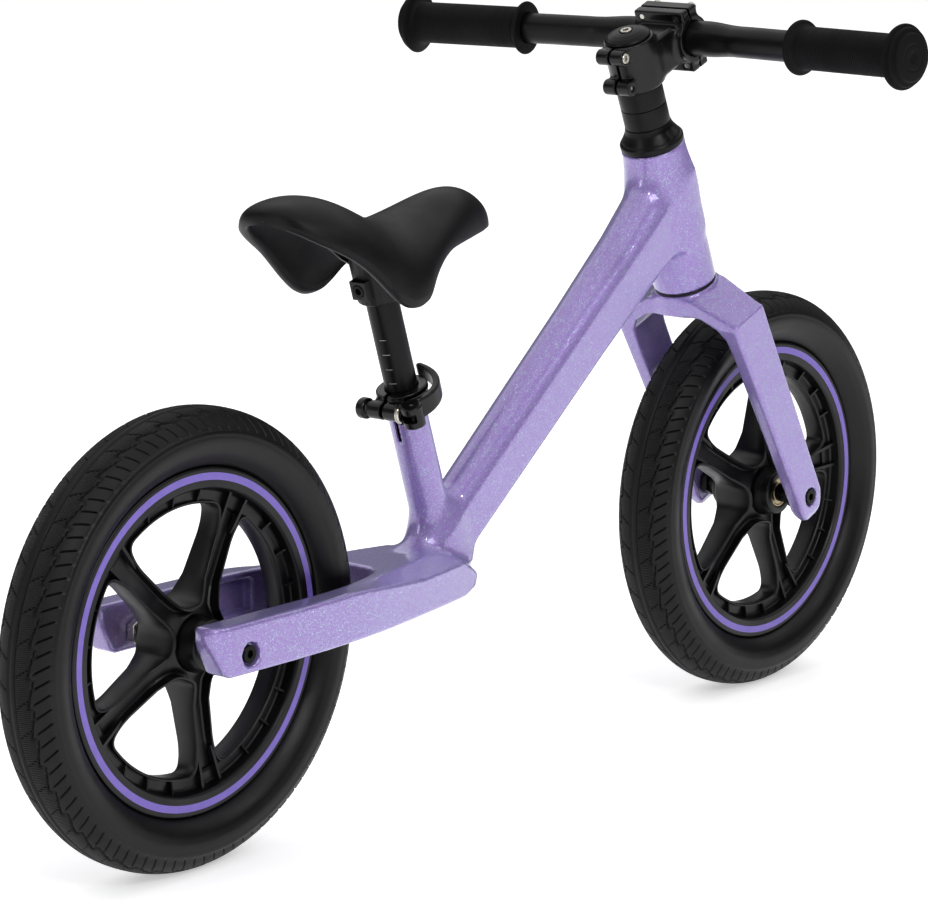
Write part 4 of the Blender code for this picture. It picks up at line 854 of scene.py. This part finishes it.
# %% Turned parts in a table
lathe_work = [
    ("head_seal", "steering", ["crown_seal"], GLOSS_BLACK, "black_plastic", HEAD,
     [(0.0146, 0.1893), (0.0226, 0.1893), (0.0229, 0.1900), (0.0226, 0.1909), (0.0146, 0.1909)], 0.0003),
    ("headset_cover", "steering", ["bearing_cover"], ANODISED, "black_anodised", HEAD,
     [(0.0146, 0.3029), (0.0224, 0.3029), (0.0232, 0.3040), (0.0233, 0.3072), (0.0222, 0.3088),
      (0.0216, 0.3090), (0.0212, 0.3100), (0.0194, 0.3128), (0.0178, 0.3156), (0.0170, 0.3182),
      (0.0168, 0.3197), (0.0146, 0.3197)], 0.0007),
    ("lower_race", "frame", ["lower_bearing"], BRIGHT, "bright_steel", HEAD,
     [(0.0146, 0.1916), (0.0205, 0.1916), (0.0205, 0.1982), (0.0146, 0.1982)], 0.0003),
    ("upper_race", "frame", ["upper_bearing"], BRIGHT, "bright_steel", HEAD,
     [(0.0146, 0.2956), (0.0205, 0.2956), (0.0205, 0.3022), (0.0146, 0.3022)], 0.0003),
    ("spacer_ring_lower", "steering", ["spacer_lower"], ANODISED, "black_anodised", HEAD,
     [(0.0146, 0.3200), (0.0166, 0.3200), (0.0166, 0.3347), (0.0146, 0.3347)], 0.0005),
    ("spacer_ring_upper", "steering", ["spacer_upper"], ANODISED, "black_anodised", HEAD,
     [(0.0146, 0.3350), (0.0166, 0.3350), (0.0166, 0.3497), (0.0146, 0.3497)], 0.0005),
    ("stem_cap", "steering", ["top_cap"], ANODISED, "black_anodised", HEAD,
     [(0.0026, 0.3871), (0.0164, 0.3871), (0.0167, 0.3880), (0.0160, 0.3892), (0.0135, 0.3908),
      (0.0100, 0.3920), (0.0062, 0.3926), (0.0047, 0.3924), (0.0046, 0.3904), (0.0026, 0.3904)], 0.0004),
    ("fork_steerer", "steering", ["steerer_tube"], OXIDE, "black_steel", HEAD,
     [(0.0120, 0.1722), (0.0143, 0.1722), (0.0143, 0.3848), (0.0120, 0.3848)], 0.0004),
    ("steerer_plug", "steering", ["steerer_anchor"], BRIGHT, "bright_steel", HEAD,
     [(0.0025, 0.3692), (0.0117, 0.3692), (0.0117, 0.3790), (0.0025, 0.3790)], 0.0005),
    ("saddle_post", "saddle", ["seatpost"], ANODISED, "black_anodised", SEAT,
     [(0.0090, -0.0380), (POST_R, -0.0380), (POST_R, 0.1180), (0.0090, 0.1180)], 0.0006),
    ("thumb_nut", "thumb_nut", ["qr_nut"], GLOSS_BLACK, "black_anodised", SKEWER_LINE,
     [(0.0028, 0.0130), (0.0046, 0.0130), (0.0048, 0.0148), (0.0062, 0.0152), (0.0072, 0.0160),
      (0.0072, 0.0206), (0.0066, 0.0217), (0.0052, 0.0220), (0.0044, 0.0214), (0.0028, 0.0214)], 0.0005),
    ("cam_seat", "frame", ["cam_washer"], BRIGHT, "bright_steel", SKEWER_LINE,
     [(0.0028, -0.0128), (0.0072, -0.0128), (0.0072, -0.0146), (0.0060, -0.0156), (0.0028, -0.0156)], 0.0004),
    ("clamp_skewer", "frame", ["qr_skewer"], OXIDE, "black_steel", SKEWER_LINE,
     [(0.0002, -0.0272), (0.0025, -0.0272), (0.0025, 0.0238), (0.0002, 0.0238)], 0.0004),
    ("lever_pin", "frame", ["qr_pivot_pin"], BRIGHT, "bright_steel",
     SEAT @ leaning((SKEWER[0], -0.0235, SKEWER[1]), 0),
     [(0.0001, -0.0079), (0.0013, -0.0079), (0.0013, 0.0079), (0.0001, 0.0079)], 0.0002),
]
for name, body, nodes, finish, slot, matrix, profile, size in lathe_work:
    points, faces = turned(ease(profile, size, 4, closed=True), matrix, 96, ring=True)
    place(name, points, faces, body, finish, nodes, sharp=30)
print("turned parts:", len(lathe_work))

# %% [markdown]
# The post is printed with a mark every centimetre, so that the saddle can be set to the same height
# again. Each is a thin arc that stands a tenth of a millimetre proud, which keeps its edge sharp at any
# distance where a texture would blur.

# %% Height marks on the post
for k, t in enumerate((0.0198, 0.0304, 0.0408, 0.0517, 0.0625)):
    angle = np.radians(np.linspace(180, 206 + (k % 2) * 3, 16))[:, None]
    ring = np.array([(0.01095, -0.00016), (0.01118, -0.00016), (0.01118, 0.00016), (0.01095, 0.00016)])
    arc = np.stack([ring[:, 0] * np.cos(angle), ring[:, 0] * np.sin(angle), t + ring[:, 1] + 0 * angle], -1)
    ends = [arc[i:i + 1].mean(1, keepdims=True).repeat(4, 1) for i in (0, len(arc) - 1)]
    arc = np.concatenate([ends[0], arc, ends[1]])
    place(f"height_mark_{k + 1}", carry(arc.reshape(-1, 3), SEAT), grid_faces(18, 4, False, True),
          "saddle", CHALK, merge=1e-6)
print("height marks:", k + 1)

# %% [markdown]
# Each wheel turns on a hollow axle between two spacers with flats for a spanner, and a cap screw goes
# into each end. The small screws differ only in six numbers, so a table lists them too: head radius,
# seat, top, socket radius, shank radius and tip.

# %% Axles, spacers and screws
for label, centre, inner_face, outer_face, sunk, body in (
        ("rear", REAR, 0.0400, 0.0600, 0.0055, "frame"),
        ("front", FRONT, 0.0420, 0.0545, 0.0045, "steering")):
    side = sideways(centre)
    end = inner_face - 0.0003
    rod = [(0.0032, -end), (0.0050, -end), (0.0050, end), (0.0032, end)]
    points, faces = turned(ease(rod, 0.0003, 3, closed=True), side, 64, ring=True)
    place(label + "_hollow_axle", points, faces, body, OXIDE, [label + "_axle"])
    for sign, hand in ((-1, "right"), (1, "left")):
        a, m, b = 0.0263, inner_face - 0.0062, inner_face - 0.0003
        profile = np.array([(0.0053, a), (0.0066, a), (0.0070, a + 0.0004), (0.0070, m), (0.0086, m),
                            (0.0090, m + 0.0004), (0.0090, b - 0.0004), (0.0086, b),
                            (0.0053, b)]) * [1, sign]
        points, faces = turned(profile, side, 72, ring=True, hexagon=(4, 5, 6, 7))
        place(f"{label}_axle_spacer_{hand}", points, faces, body, BRIGHT if label == "rear" else OXIDE,
              [f"{label}_spacer_{hand}"])
        floor = outer_face - sunk + 0.0003
        points, faces = bolt(0.0058, sign * floor, sign * (floor + 0.0040), 0.0024, 0.0029,
                             sign * (inner_face - 0.012), side)
        place(f"{label}_axle_screw_{hand}", points, faces, body, OXIDE, [f"{label}_axle_bolt_{hand}"],
              sharp=25, merge=1e-6)
screws = [
    ("cap_screw", "steering", ["top_cap_bolt"], BRIGHT,
     (0.0042, 0.3907, 0.3934, 0.0020, 0.0022, 0.3680), HEAD),
    ("lower_pinch_screw", "steering", ["lower_pinch_bolt"], BRIGHT,
     (0.0038, 0.0081, 0.0118, 0.0017, 0.0019, -0.0100), HEAD @ sideways((PINCH_BACK, 0, PINCH[0]))),
    ("upper_pinch_screw", "steering", ["upper_pinch_bolt"], BRIGHT,
     (0.0038, -0.0081, -0.0118, 0.0017, 0.0019, 0.0100), HEAD @ sideways((PINCH_BACK, 0, PINCH[1]))),
    ("saddle_screw", "saddle", ["saddle_bolt"], OXIDE,
     (0.0045, -0.0173, -0.0205, 0.0021, 0.0024, 0.0180), SEAT @ ahead((0, 0, 0.1025))),
]
for k, (y, z) in enumerate(((-1, 1), (1, 1), (-1, -1), (1, -1))):
    seat = ahead((BAR[0], y * 0.0150, BAR[1] + z * 0.0186))
    screws.append((f"bar_clamp_screw_{k + 1}", "steering", [f"faceplate_bolt_{k + 1}"], BRIGHT,
                   (0.0036, 0.0102, 0.0132, 0.0016, 0.0019, -0.0083), HEAD @ seat))
for name, body, nodes, finish, numbers, matrix in screws:
    points, faces = bolt(*numbers, matrix)
    slot = "black_steel" if finish is OXIDE else "bright_steel"
    place(name, points, faces, body, finish, nodes, sharp=25, merge=1e-6)
print("screws:", len(screws))

# %% [markdown]
# ## Stem, faceplate, collar and lever
# Forged and machined parts have fillets at every root, so they are drawn as fields as well, in cells of
# well under a millimetre.

# %% Stem and faceplate
def stem_field(w, y, s):
    """A round barrel with two pinch ears, a neck and half a bar clamp with two flanges, all filleted;
    then the bores, the slit and the screws' seats."""
    side, radial = np.abs(y), np.sqrt(w * w + y * y)
    bw, bs = w - BAR[0], s - BAR[1]
    barrel = rod_field(s, radial, 0.3500, 0.3868, 0.0183, 0.0012)
    body = blend(barrel, block_field(w, y, s, (0.0200, 0, BAR[1]), (0.0150, 0.0155, 0.0150), 0.0030), 0.0050)
    clamp = rod_field(y, np.sqrt(bw * bw + bs * bs), -0.0215, 0.0215, 0.0167, 0.0008)
    flange = block_field(w, y, s, (0.0424, 0, BAR[1]), (0.0040, 0.0215, 0.0232), 0.0016)
    clamp = blend(clamp, flange, 0.0030)
    body = blend(body, clamp, 0.0050)
    for z in PINCH:
        ear = rod_field(y, np.sqrt((w - PINCH_BACK) ** 2 + (s - z) ** 2), -0.0115, 0.0115, 0.0057, 0.0010)
        root = block_field(w, y, s, (-0.0120, 0, z), (0.0080, 0.0115, 0.0050), 0.0010)
        body = blend(body, np.minimum(ear, root), 0.0016)
    body = both(body, w - (BAR[0] - 0.0006), 0.0003)
    body = both(body, -(np.sqrt(bw * bw + bs * bs) - 0.0130), 0.0004)
    body = both(body, -(radial - 0.0146), 0.0005)
    slit = np.maximum(side - 0.0010, w + 0.008)
    body = both(body, -slit, 0.0004)
    low = np.sqrt((w - PINCH_BACK) ** 2 + (s - PINCH[0]) ** 2)
    high = np.sqrt((w - PINCH_BACK) ** 2 + (s - PINCH[1]) ** 2)
    seats = np.minimum(rod_field(y, low, 0.0079, 0.02, 0.0042, 0.0002),
                       rod_field(y, high, -0.02, -0.0079, 0.0042, 0.0002))
    body = both(body, -seats, 0.0004)
    holes = np.minimum(low, high) - 0.0022
    screw_holes = np.sqrt((side - 0.0150) ** 2 + (np.abs(bs) - 0.0186) ** 2) - 0.0022
    screw_holes = np.maximum(screw_holes, 0.030 - w)
    return both(body, -np.minimum(np.maximum(holes, np.abs(y) - 0.02), screw_holes), 0.0003)


def faceplate_field(w, y, s):
    """The front half of the bar clamp: a half round with two flanges, bored for the bar and screws."""
    side, bw, bs = np.abs(y), w - BAR[0], s - BAR[1]
    arch = rod_field(y, np.sqrt(bw * bw + bs * bs), -0.0215, 0.0215, 0.0165, 0.0009)
    flange = block_field(w, y, s, (BAR[0] + 0.0040, 0, BAR[1]), (0.0052, 0.0215, 0.0232), 0.0016)
    body = blend(arch, flange, 0.0020)
    window = block_field(w, y, s, (BAR[0] + 0.0175, 0, BAR[1]), (0.0042, 0.0075, 0.0075), 0.0020)
    body = both(body, -window, 0.0006)
    body = both(body, -(bw - 0.0006), 0.0003)
    body = both(body, -(np.sqrt(bw * bw + bs * bs) - 0.0130), 0.0004)
    hole = np.sqrt((side - 0.0150) ** 2 + (np.abs(bs) - 0.0186) ** 2)
    seat = np.maximum(hole - 0.0040, (BAR[0] + 0.0100) - w)
    return both(body, -np.minimum(hole - 0.0022, seat), 0.0003)


points, faces = skin(stem_field, (-0.027, -0.022, 0.341), (0.047, 0.022, 0.390), 0.00075)
place("forged_stem", carry(points, HEAD), faces, "steering", GLOSS_BLACK, ["stem"],
      sharp=50)
points, faces = skin(faceplate_field, (0.0465, -0.0225, 0.341), (0.064, 0.0225, 0.390), 0.0007)
place("bar_faceplate", carry(points, HEAD), faces, "steering", GLOSS_BLACK, ["faceplate"],
      sharp=50)
print("faceplate faces:", len(faces))

# %% [markdown]
# The seat collar is split at the back. The skewer pulls its two ends together when the lever's cam rolls
# over its washer, and the lever's arm then lies round the collar, out of the child's way. Both are
# fields as well, because the band, barrel and cam run into each other with fillets.

# %% Seat collar and its lever
COLLAR_LOW, COLLAR_TOP = 0.0055, 0.0235


def collar_field(w, y, t):
    """A band round the seat tube with a lip at each edge and a barrel behind it, split down the back."""
    side, radial = np.abs(y), np.sqrt(w * w + y * y)
    band = rod_field(t, radial, COLLAR_LOW + 0.0003, COLLAR_TOP, 0.0172, 0.0012)
    lips = np.minimum(rod_field(t, radial, COLLAR_LOW + 0.0003, COLLAR_LOW + 0.0030, 0.0177, 0.0008),
                      rod_field(t, radial, COLLAR_TOP - 0.0036, COLLAR_TOP - 0.0006, 0.0177, 0.0008))
    band = blend(band, lips, 0.0012)
    from_skewer = np.sqrt((w - SKEWER[0]) ** 2 + (t - SKEWER[1]) ** 2)
    barrel = rod_field(y, from_skewer, -0.0125, 0.0125, 0.0061, 0.0009)
    web = block_field(w, y, t, (-0.0140, 0, SKEWER[1]), (0.0060, 0.0120, 0.0052), 0.0010)
    body = blend(band, np.minimum(barrel, web), 0.0025)
    body = both(body, -(radial - np.where(t < COLLAR_TOP - 0.0028, 0.0138, 0.0115)), 0.0006)
    body = both(body, -np.maximum(side - 0.0014, w + 0.006), 0.0005)
    return both(body, -(from_skewer - 0.0028), 0.0004)


def lever_field(w, y, t):
    """A cam on the pin, slotted for the skewer, and a flat arm that wraps the collar and rises to its tip.
    The arm is a band about a spiral: its radius shrinks and its height grows with the angle."""
    cw, cy = w - SKEWER[0], y + 0.0235
    cam = rod_field(t, np.sqrt(cw * cw + cy * cy), SKEWER[1] - 0.0077, SKEWER[1] + 0.0077, 0.0073, 0.0014)
    turn = (np.arctan2(y, w) - radians(206)) % (2 * pi)
    share = turn / radians(164)
    k = np.clip(share, 0, 1)
    radius = 0.0252 - 0.0024 * k
    middle = SKEWER[1] + 0.0005 + 0.0105 * k ** 2
    end = (np.abs((turn - radians(82) + pi) % (2 * pi) - pi) - radians(82)) * radius
    thin, tall = 0.0029 - 0.0008 * k, 0.0075 - 0.0028 * k
    radial = np.abs(np.sqrt(w * w + y * y) - radius) - thin
    height = np.abs(t - middle) - tall
    arm = both(both(radial, height, 0.0014), end, 0.0030)
    body = blend(cam, arm, 0.0020)
    slot = block_field(w, y, t, (SKEWER[0] - 0.0030, -0.0210, SKEWER[1]), (0.0081, 0.0085, 0.0029), 0.0006)
    body = both(body, -slot, 0.0005)
    return both(body, -(np.sqrt(cw * cw + cy * cy) - 0.0016), 0.0003)


points, faces = skin(collar_field, (-0.027, -0.018, 0.004), (0.019, 0.018, 0.025), 0.0006)
place("clamp_collar", carry(points, SEAT), faces, "frame", GLOSS_BLACK, ["seat_collar"],
      sharp=50)
points, faces = skin(lever_field, (-0.030, -0.032, 0.004), (0.028, 0.010, 0.034), 0.0006)
place("clamp_lever", carry(points, SEAT), faces, "quick_release_lever", GLOSS_BLACK, ["qr_lever"],
      sharp=50)
print("lever faces:", len(faces))

# %% [markdown]
# ## Handlebar and grips
# The bar is a tube carried along a path that is straight in the clamp and swept back 7.9 degrees outside
# it. It is thick in the middle and drawn down to 22.2 mm for the hands. Each grip is turned along its end
# of the bar: two flanges keep the hand in place, and fine ribs 1.8 mm apart run between them.

# %% The bar's path
SWEEP = radians(7.9)


def bar_path(y):
    """Straight within 30 mm of the middle, and outside that straight again but swept back, by the length
    outside times the sweep's sine. A running mean of five points then rounds the corner."""
    out = np.maximum(np.abs(y) - 0.030, 0)
    sign = np.sign(y)
    return np.stack([BAR[0] - out * sin(SWEEP) * cos(HEAD_TILT),
                     sign * (np.minimum(np.abs(y), 0.030) + out * cos(SWEEP)),
                     BAR[1] + out * sin(SWEEP) * sin(HEAD_TILT)], -1)


def swept(path, radius, segments=64):
    """Circles of the given radii square to the path's direction, which is the mean of its neighbours'."""
    d = np.gradient(path, axis=0)
    d /= np.linalg.norm(d, axis=1)[:, None]
    u = np.stack([d[:, 1], -d[:, 0], 0 * d[:, 0]], -1)
    u /= np.linalg.norm(u, axis=1)[:, None]
    v = np.cross(u, d)
    t = np.linspace(0, 2 * pi, segments, endpoint=False)[None, :, None]
    circle = u[:, None] * np.cos(t) + v[:, None] * np.sin(t)
    return (path[:, None] + radius[:, None, None] * circle).reshape(-1, 3)


ys = np.concatenate([[-0.2178], np.linspace(-0.2176, -0.064, 30), np.linspace(-0.062, 0.062, 64),
                     np.linspace(0.064, 0.2176, 30), [0.2178]])
radius = 0.0111 + 0.0016 * (0.5 + 0.5 * np.cos(pi * np.clip((np.abs(ys) - 0.034) / 0.028, 0, 1)))
path = bar_path(ys)
path[:, 0] = np.convolve(np.pad(path[:, 0], 2, mode="edge"), np.ones(5) / 5, "valid")
path[:3], path[-3:] = bar_path(ys)[:3], bar_path(ys)[-3:]
radius[[0, -1]] = 1e-5
points, faces = carry(swept(path, radius), HEAD), grid_faces(len(ys), 64, False, True)
place("swept_handlebar", points, faces, "steering", ANODISED, ["handlebar"], merge=2e-5)
print("bar rings:", len(ys))

# %% [markdown]
# A grip is moulded on a core pin in one shot, so it is turned about the bar's swept end. Its flanges are
# thick and round, because they are what hits the ground when the bike falls over.


# %% Grips
def grip_profile(length):
    """Closed section of the grip: rubber from the bore out to the ribbed hand part, with a flange at
    each end and a stepped end cap with a shallow dimple."""
    z = np.linspace(0.0066, length - 0.0030, 48 * 8)
    ribs = 0.0148 + 0.00035 * np.sqrt(np.abs(np.sin(pi * (z - 0.0066) / 0.0018)))
    start = [(0.0116, 0.0), (0.0186, 0.0), (0.0194, 0.0008), (0.0195, 0.0018), (0.0188, 0.0030),
             (0.0166, 0.0040), (0.0153, 0.0056)]
    end = [(0.0153, -0.0022), (0.0185, -0.0008), (0.0215, 0), (0.0227, 0.0008), (0.0228, 0.0020),
           (0.0222, 0.0030), (0.0206, 0.0033), (0.0204, 0.0058), (0.0198, 0.0065), (0.0172, 0.0068),
           (0.0168, 0.0090), (0.0160, 0.0100), (0.0100, 0.0104), (0.0090, 0.0101), (0.0082, 0.0104),
           (0.0040, 0.0104), (0.0030, 0.0092), (0.0, 0.0092)]
    end = np.array(end) + [0, length]
    bore = [(0.0, length + 0.0036), (0.0116, length + 0.0036)]
    return start, np.stack([ribs, z], -1), end, bore


for sign, hand in ((-1, "right"), (1, "left")):
    a, b = bar_path(np.array([sign * 0.1218])), bar_path(np.array([sign * 0.2150]))
    length = float(np.linalg.norm(b - a))
    d = ((b - a) / length)[0]
    u = np.array([d[1], -d[0], 0]) / np.hypot(d[0], d[1])
    m = np.eye(4)
    m[:3, :3], m[:3, 3] = np.stack([u, np.cross(d, u), d], -1), a[0]
    start, ribs, end, bore = grip_profile(length)
    profile = np.concatenate([ease(start, 0.0005, 3), ribs, ease(end, 0.0004, 3), bore])
    points, faces = turned(profile, HEAD @ m, 72, ring=True)
    place("ribbed_grip_" + hand, points, faces, "steering", GRIP_RUBBER, ["grip_" + hand],
          sharp=60, merge=1e-6)
print("grip length:", round(length, 4))

# %% [markdown]
# ## Saddle
# The saddle is foam moulded against its own skin in a closed tool, so it has no seams and holds its
# shape: a cloth simulation would only loosen it. It is a grid: the first parameter runs from tail to
# nose, the second over the arch from one edge to the other and back on the inside. Battens through a few
# stations give its half width, edge height and crown height.

# %% The saddle's stations and surface
STATIONS = np.array([
    (-0.2350, 0.0020, 0.4090, 0.4108), (-0.2340, 0.0130, 0.4080, 0.4146), (-0.2295, 0.0248, 0.4048, 0.4185),
    (-0.2190, 0.0352, 0.3982, 0.4214), (-0.2050, 0.0424, 0.3908, 0.4226), (-0.1900, 0.0466, 0.3822, 0.4207),
    (-0.1750, 0.0494, 0.3706, 0.4160), (-0.1600, 0.0508, 0.3576, 0.4097), (-0.1480, 0.0511, 0.3504, 0.4048),
    (-0.1380, 0.0510, 0.3490, 0.4020), (-0.1280, 0.0496, 0.3516, 0.4008), (-0.1170, 0.0458, 0.3618, 0.4006),
    (-0.1050, 0.0412, 0.3712, 0.4024), (-0.0870, 0.0352, 0.3788, 0.4072), (-0.0700, 0.0302, 0.3815, 0.4122),
    (-0.0550, 0.0256, 0.3830, 0.4143), (-0.0400, 0.0208, 0.3843, 0.4122), (-0.0270, 0.0158, 0.3853, 0.4062),
    (-0.0190, 0.0104, 0.3860, 0.3998), (-0.0156, 0.0054, 0.3863, 0.3942), (-0.0147, 0.0015, 0.3866, 0.3892)])


def saddle_surface(rows=150, cols=44):
    """Outer arch: y = w sin t, z = edge + (crown - edge) cos t to a power; inside the same arch drawn in
    towards the middle. A rounded lip joins them at the edge."""
    s = np.concatenate([[0], np.cumsum(np.linalg.norm(np.diff(STATIONS, axis=0), axis=1))])
    u = np.linspace(0, s[-1], rows)
    x, w, edge, crown = (smooth_line(u, s, STATIONS[:, k])[:, None] for k in range(4))
    t = np.linspace(-pi / 2, pi / 2, cols)[None, :]
    power = 0.92 + 0.10 * np.clip((x + 0.13) / 0.06, 0, 1)
    arch = np.maximum(np.cos(t), 0) ** power
    outer = np.stack([x + 0 * t, w * np.sin(t), edge + (crown - edge) * arch], -1)
    keep = np.clip(np.minimum(x + 0.2350, -0.0147 - x) / 0.016, 0, 1) ** 0.5
    wi, depth = np.maximum(w - 0.0092, 0.35 * w), crown - edge
    ci = edge + depth * (1 - np.minimum(0.0080 / np.maximum(depth, 0.004), 0.9))
    ci = edge + 0.0010 + (ci - edge - 0.0010) * keep
    inner = np.stack([x + 0 * t, wi * np.sin(t), edge + 0.0006 + (ci - edge - 0.0006) * arch], -1)[:, ::-1]
    parts = [outer]
    for here, there, rest in ((outer[:, -1:], inner[:, :1], inner), (inner[:, -1:], outer[:, :1], None)):
        for share, drop in ((0.25, 0.0019), (0.50, 0.0026), (0.75, 0.0019)):
            parts.append(here * (1 - share) + there * share - [0, 0, drop])
        if rest is not None:
            parts.append(rest)
    ring = np.concatenate(parts, 1)
    return ring


ring = saddle_surface()
n, m = ring.shape[:2]
cap_a, cap_b = ring[0].mean(0), ring[-1].mean(0)
points = np.concatenate([np.repeat(cap_a[None], m, 0)[None], ring, np.repeat(cap_b[None], m, 0)[None]])
pad = place("saddle_cover", points.reshape(-1, 3), grid_faces(n + 2, m, False, True), "saddle", SKIN,
            ["saddle_pad"], sharp=60, merge=1e-6)
print("saddle faces:", len(pad.data.polygons))

# %% [markdown]
# ## CAD nodes that stay
# The saddle's ribbed base and its nut already have the right shape, so they keep their CAD meshes and
# only get a real finish.

# %% Finishes for the nodes that stay
for name, finish in (("saddle_base", SHELL), ("saddle_nut", OXIDE)):
    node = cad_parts[name]
    node.data.materials.clear()
    node.data.materials.append(finish)
print("kept:", "saddle_base, saddle_nut")

# %% [markdown]
# ## Floor, light and camera
# A product is shown on a pale table, so the only hard thing in the picture is the product. The
# table glows a little: painted light that keeps it white even where the bike shades it.

# %% Floor
floor_mesh = bpy.data.meshes.new("floor")
floor_mesh.from_pydata([(-12, -12, 0), (12, -12, 0), (12, 12, 0), (-12, 12, 0)], [], [(0, 1, 2, 3)])
floor = bpy.data.objects.new("floor", floor_mesh)
bpy.context.scene.collection.objects.link(floor)
# a pale floor that glows though it is no lamp: painted light that keeps it white and softens the shadows
FLOOR, tree, shader = new_finish("glowing_floor_painted_light", "#F4F4F5", 0.7, Emission_Color=(1, 1, 1, 1),
                                 Emission_Strength=0.5)
floor_mesh.materials.append(FLOOR)
print("floor:", FLOOR.name)

# %% [markdown]
# One very large light overhead stands for a white ceiling. Two boxes low at the side and behind draw long
# highlights along the tubes, and two small ones put the sharp glints on the curved black parts.

# %% Lights
world = bpy.data.worlds.new("studio")
bpy.context.scene.world = world
world.use_nodes = True
world.node_tree.nodes["Background"].inputs["Color"].default_value = (1, 1, 1, 1)
world.node_tree.nodes["Background"].inputs["Strength"].default_value = 0.15


def soft_box(name, position, target, size, power):
    """A rectangular area light at a position, turned to face a target."""
    data = bpy.data.lights.new(name, "AREA")
    data.shape, data.size, data.size_y, data.energy = "RECTANGLE", size[0], size[1], power
    ob = bpy.data.objects.new(name, data)
    back = np.array(position, float) - np.array(target, float)
    side = np.cross([0, 1, 0] if abs(back[2]) > 0.99 * np.linalg.norm(back) else [0, 0, 1], back)
    turn = Matrix(np.array([side, np.cross(back, side), back]).T.tolist()).normalized().to_4x4()
    ob.matrix_world = Matrix.Translation(position) @ turn
    bpy.context.scene.collection.objects.link(ob)


soft_box("ceiling", (2.0, 1.6, 4.2), (2.0, 1.6, 0), (11.0, 11.0), 340)
soft_box("camera_side", (-1.0, -2.4, 1.7), (0, 0, 0.25), (0.9, 1.3), 20)
soft_box("rear_strip", (-2.6, 0.7, 1.1), (0, 0, 0.25), (0.4, 1.5), 10)
soft_box("key_spot", (-2.2, -2.3, 2.4), (0, 0, 0.3), (0.16, 0.16), 9)
soft_box("front_spot", (0.9, -2.4, 2.0), (0, 0, 0.3), (0.16, 0.16), 7)
print("lights:", len(bpy.data.lights))

# %% [markdown]
# The bike is seen from behind its right side and a little above, through a long lens, which keeps the
# near wheel from looming over the far one. The camera's three directions are worked out from its azimuth,
# elevation and roll. A gamma below one deepens the blacks and leaves white as it is.

# %% Camera
azimuth, elevation, roll = radians(-50.7314), radians(11.1811), radians(0.2363)
back = np.array([sin(azimuth) * cos(elevation), -cos(azimuth) * cos(elevation), sin(elevation)])
right = np.cross([0, 0, 1], back)
right /= np.linalg.norm(right)
up = np.cross(back, right)
right, up = right * cos(roll) + up * sin(roll), up * cos(roll) - right * sin(roll)
camera = bpy.data.cameras.new("camera")
camera.lens, camera.sensor_width, camera.clip_start = 148.11, 36.0, 0.05
eye = bpy.data.objects.new("camera", camera)
bpy.context.scene.collection.objects.link(eye)
turn = Matrix(np.array([right, up, back]).T.tolist()).to_4x4()
eye.matrix_world = Matrix.Translation((-2.0217, -1.6270, 0.7347)) @ turn
bpy.context.scene.camera = eye
bpy.context.scene.view_settings.view_transform = "Standard"
bpy.context.scene.view_settings.gamma = 0.86
print("lens:", camera.lens)
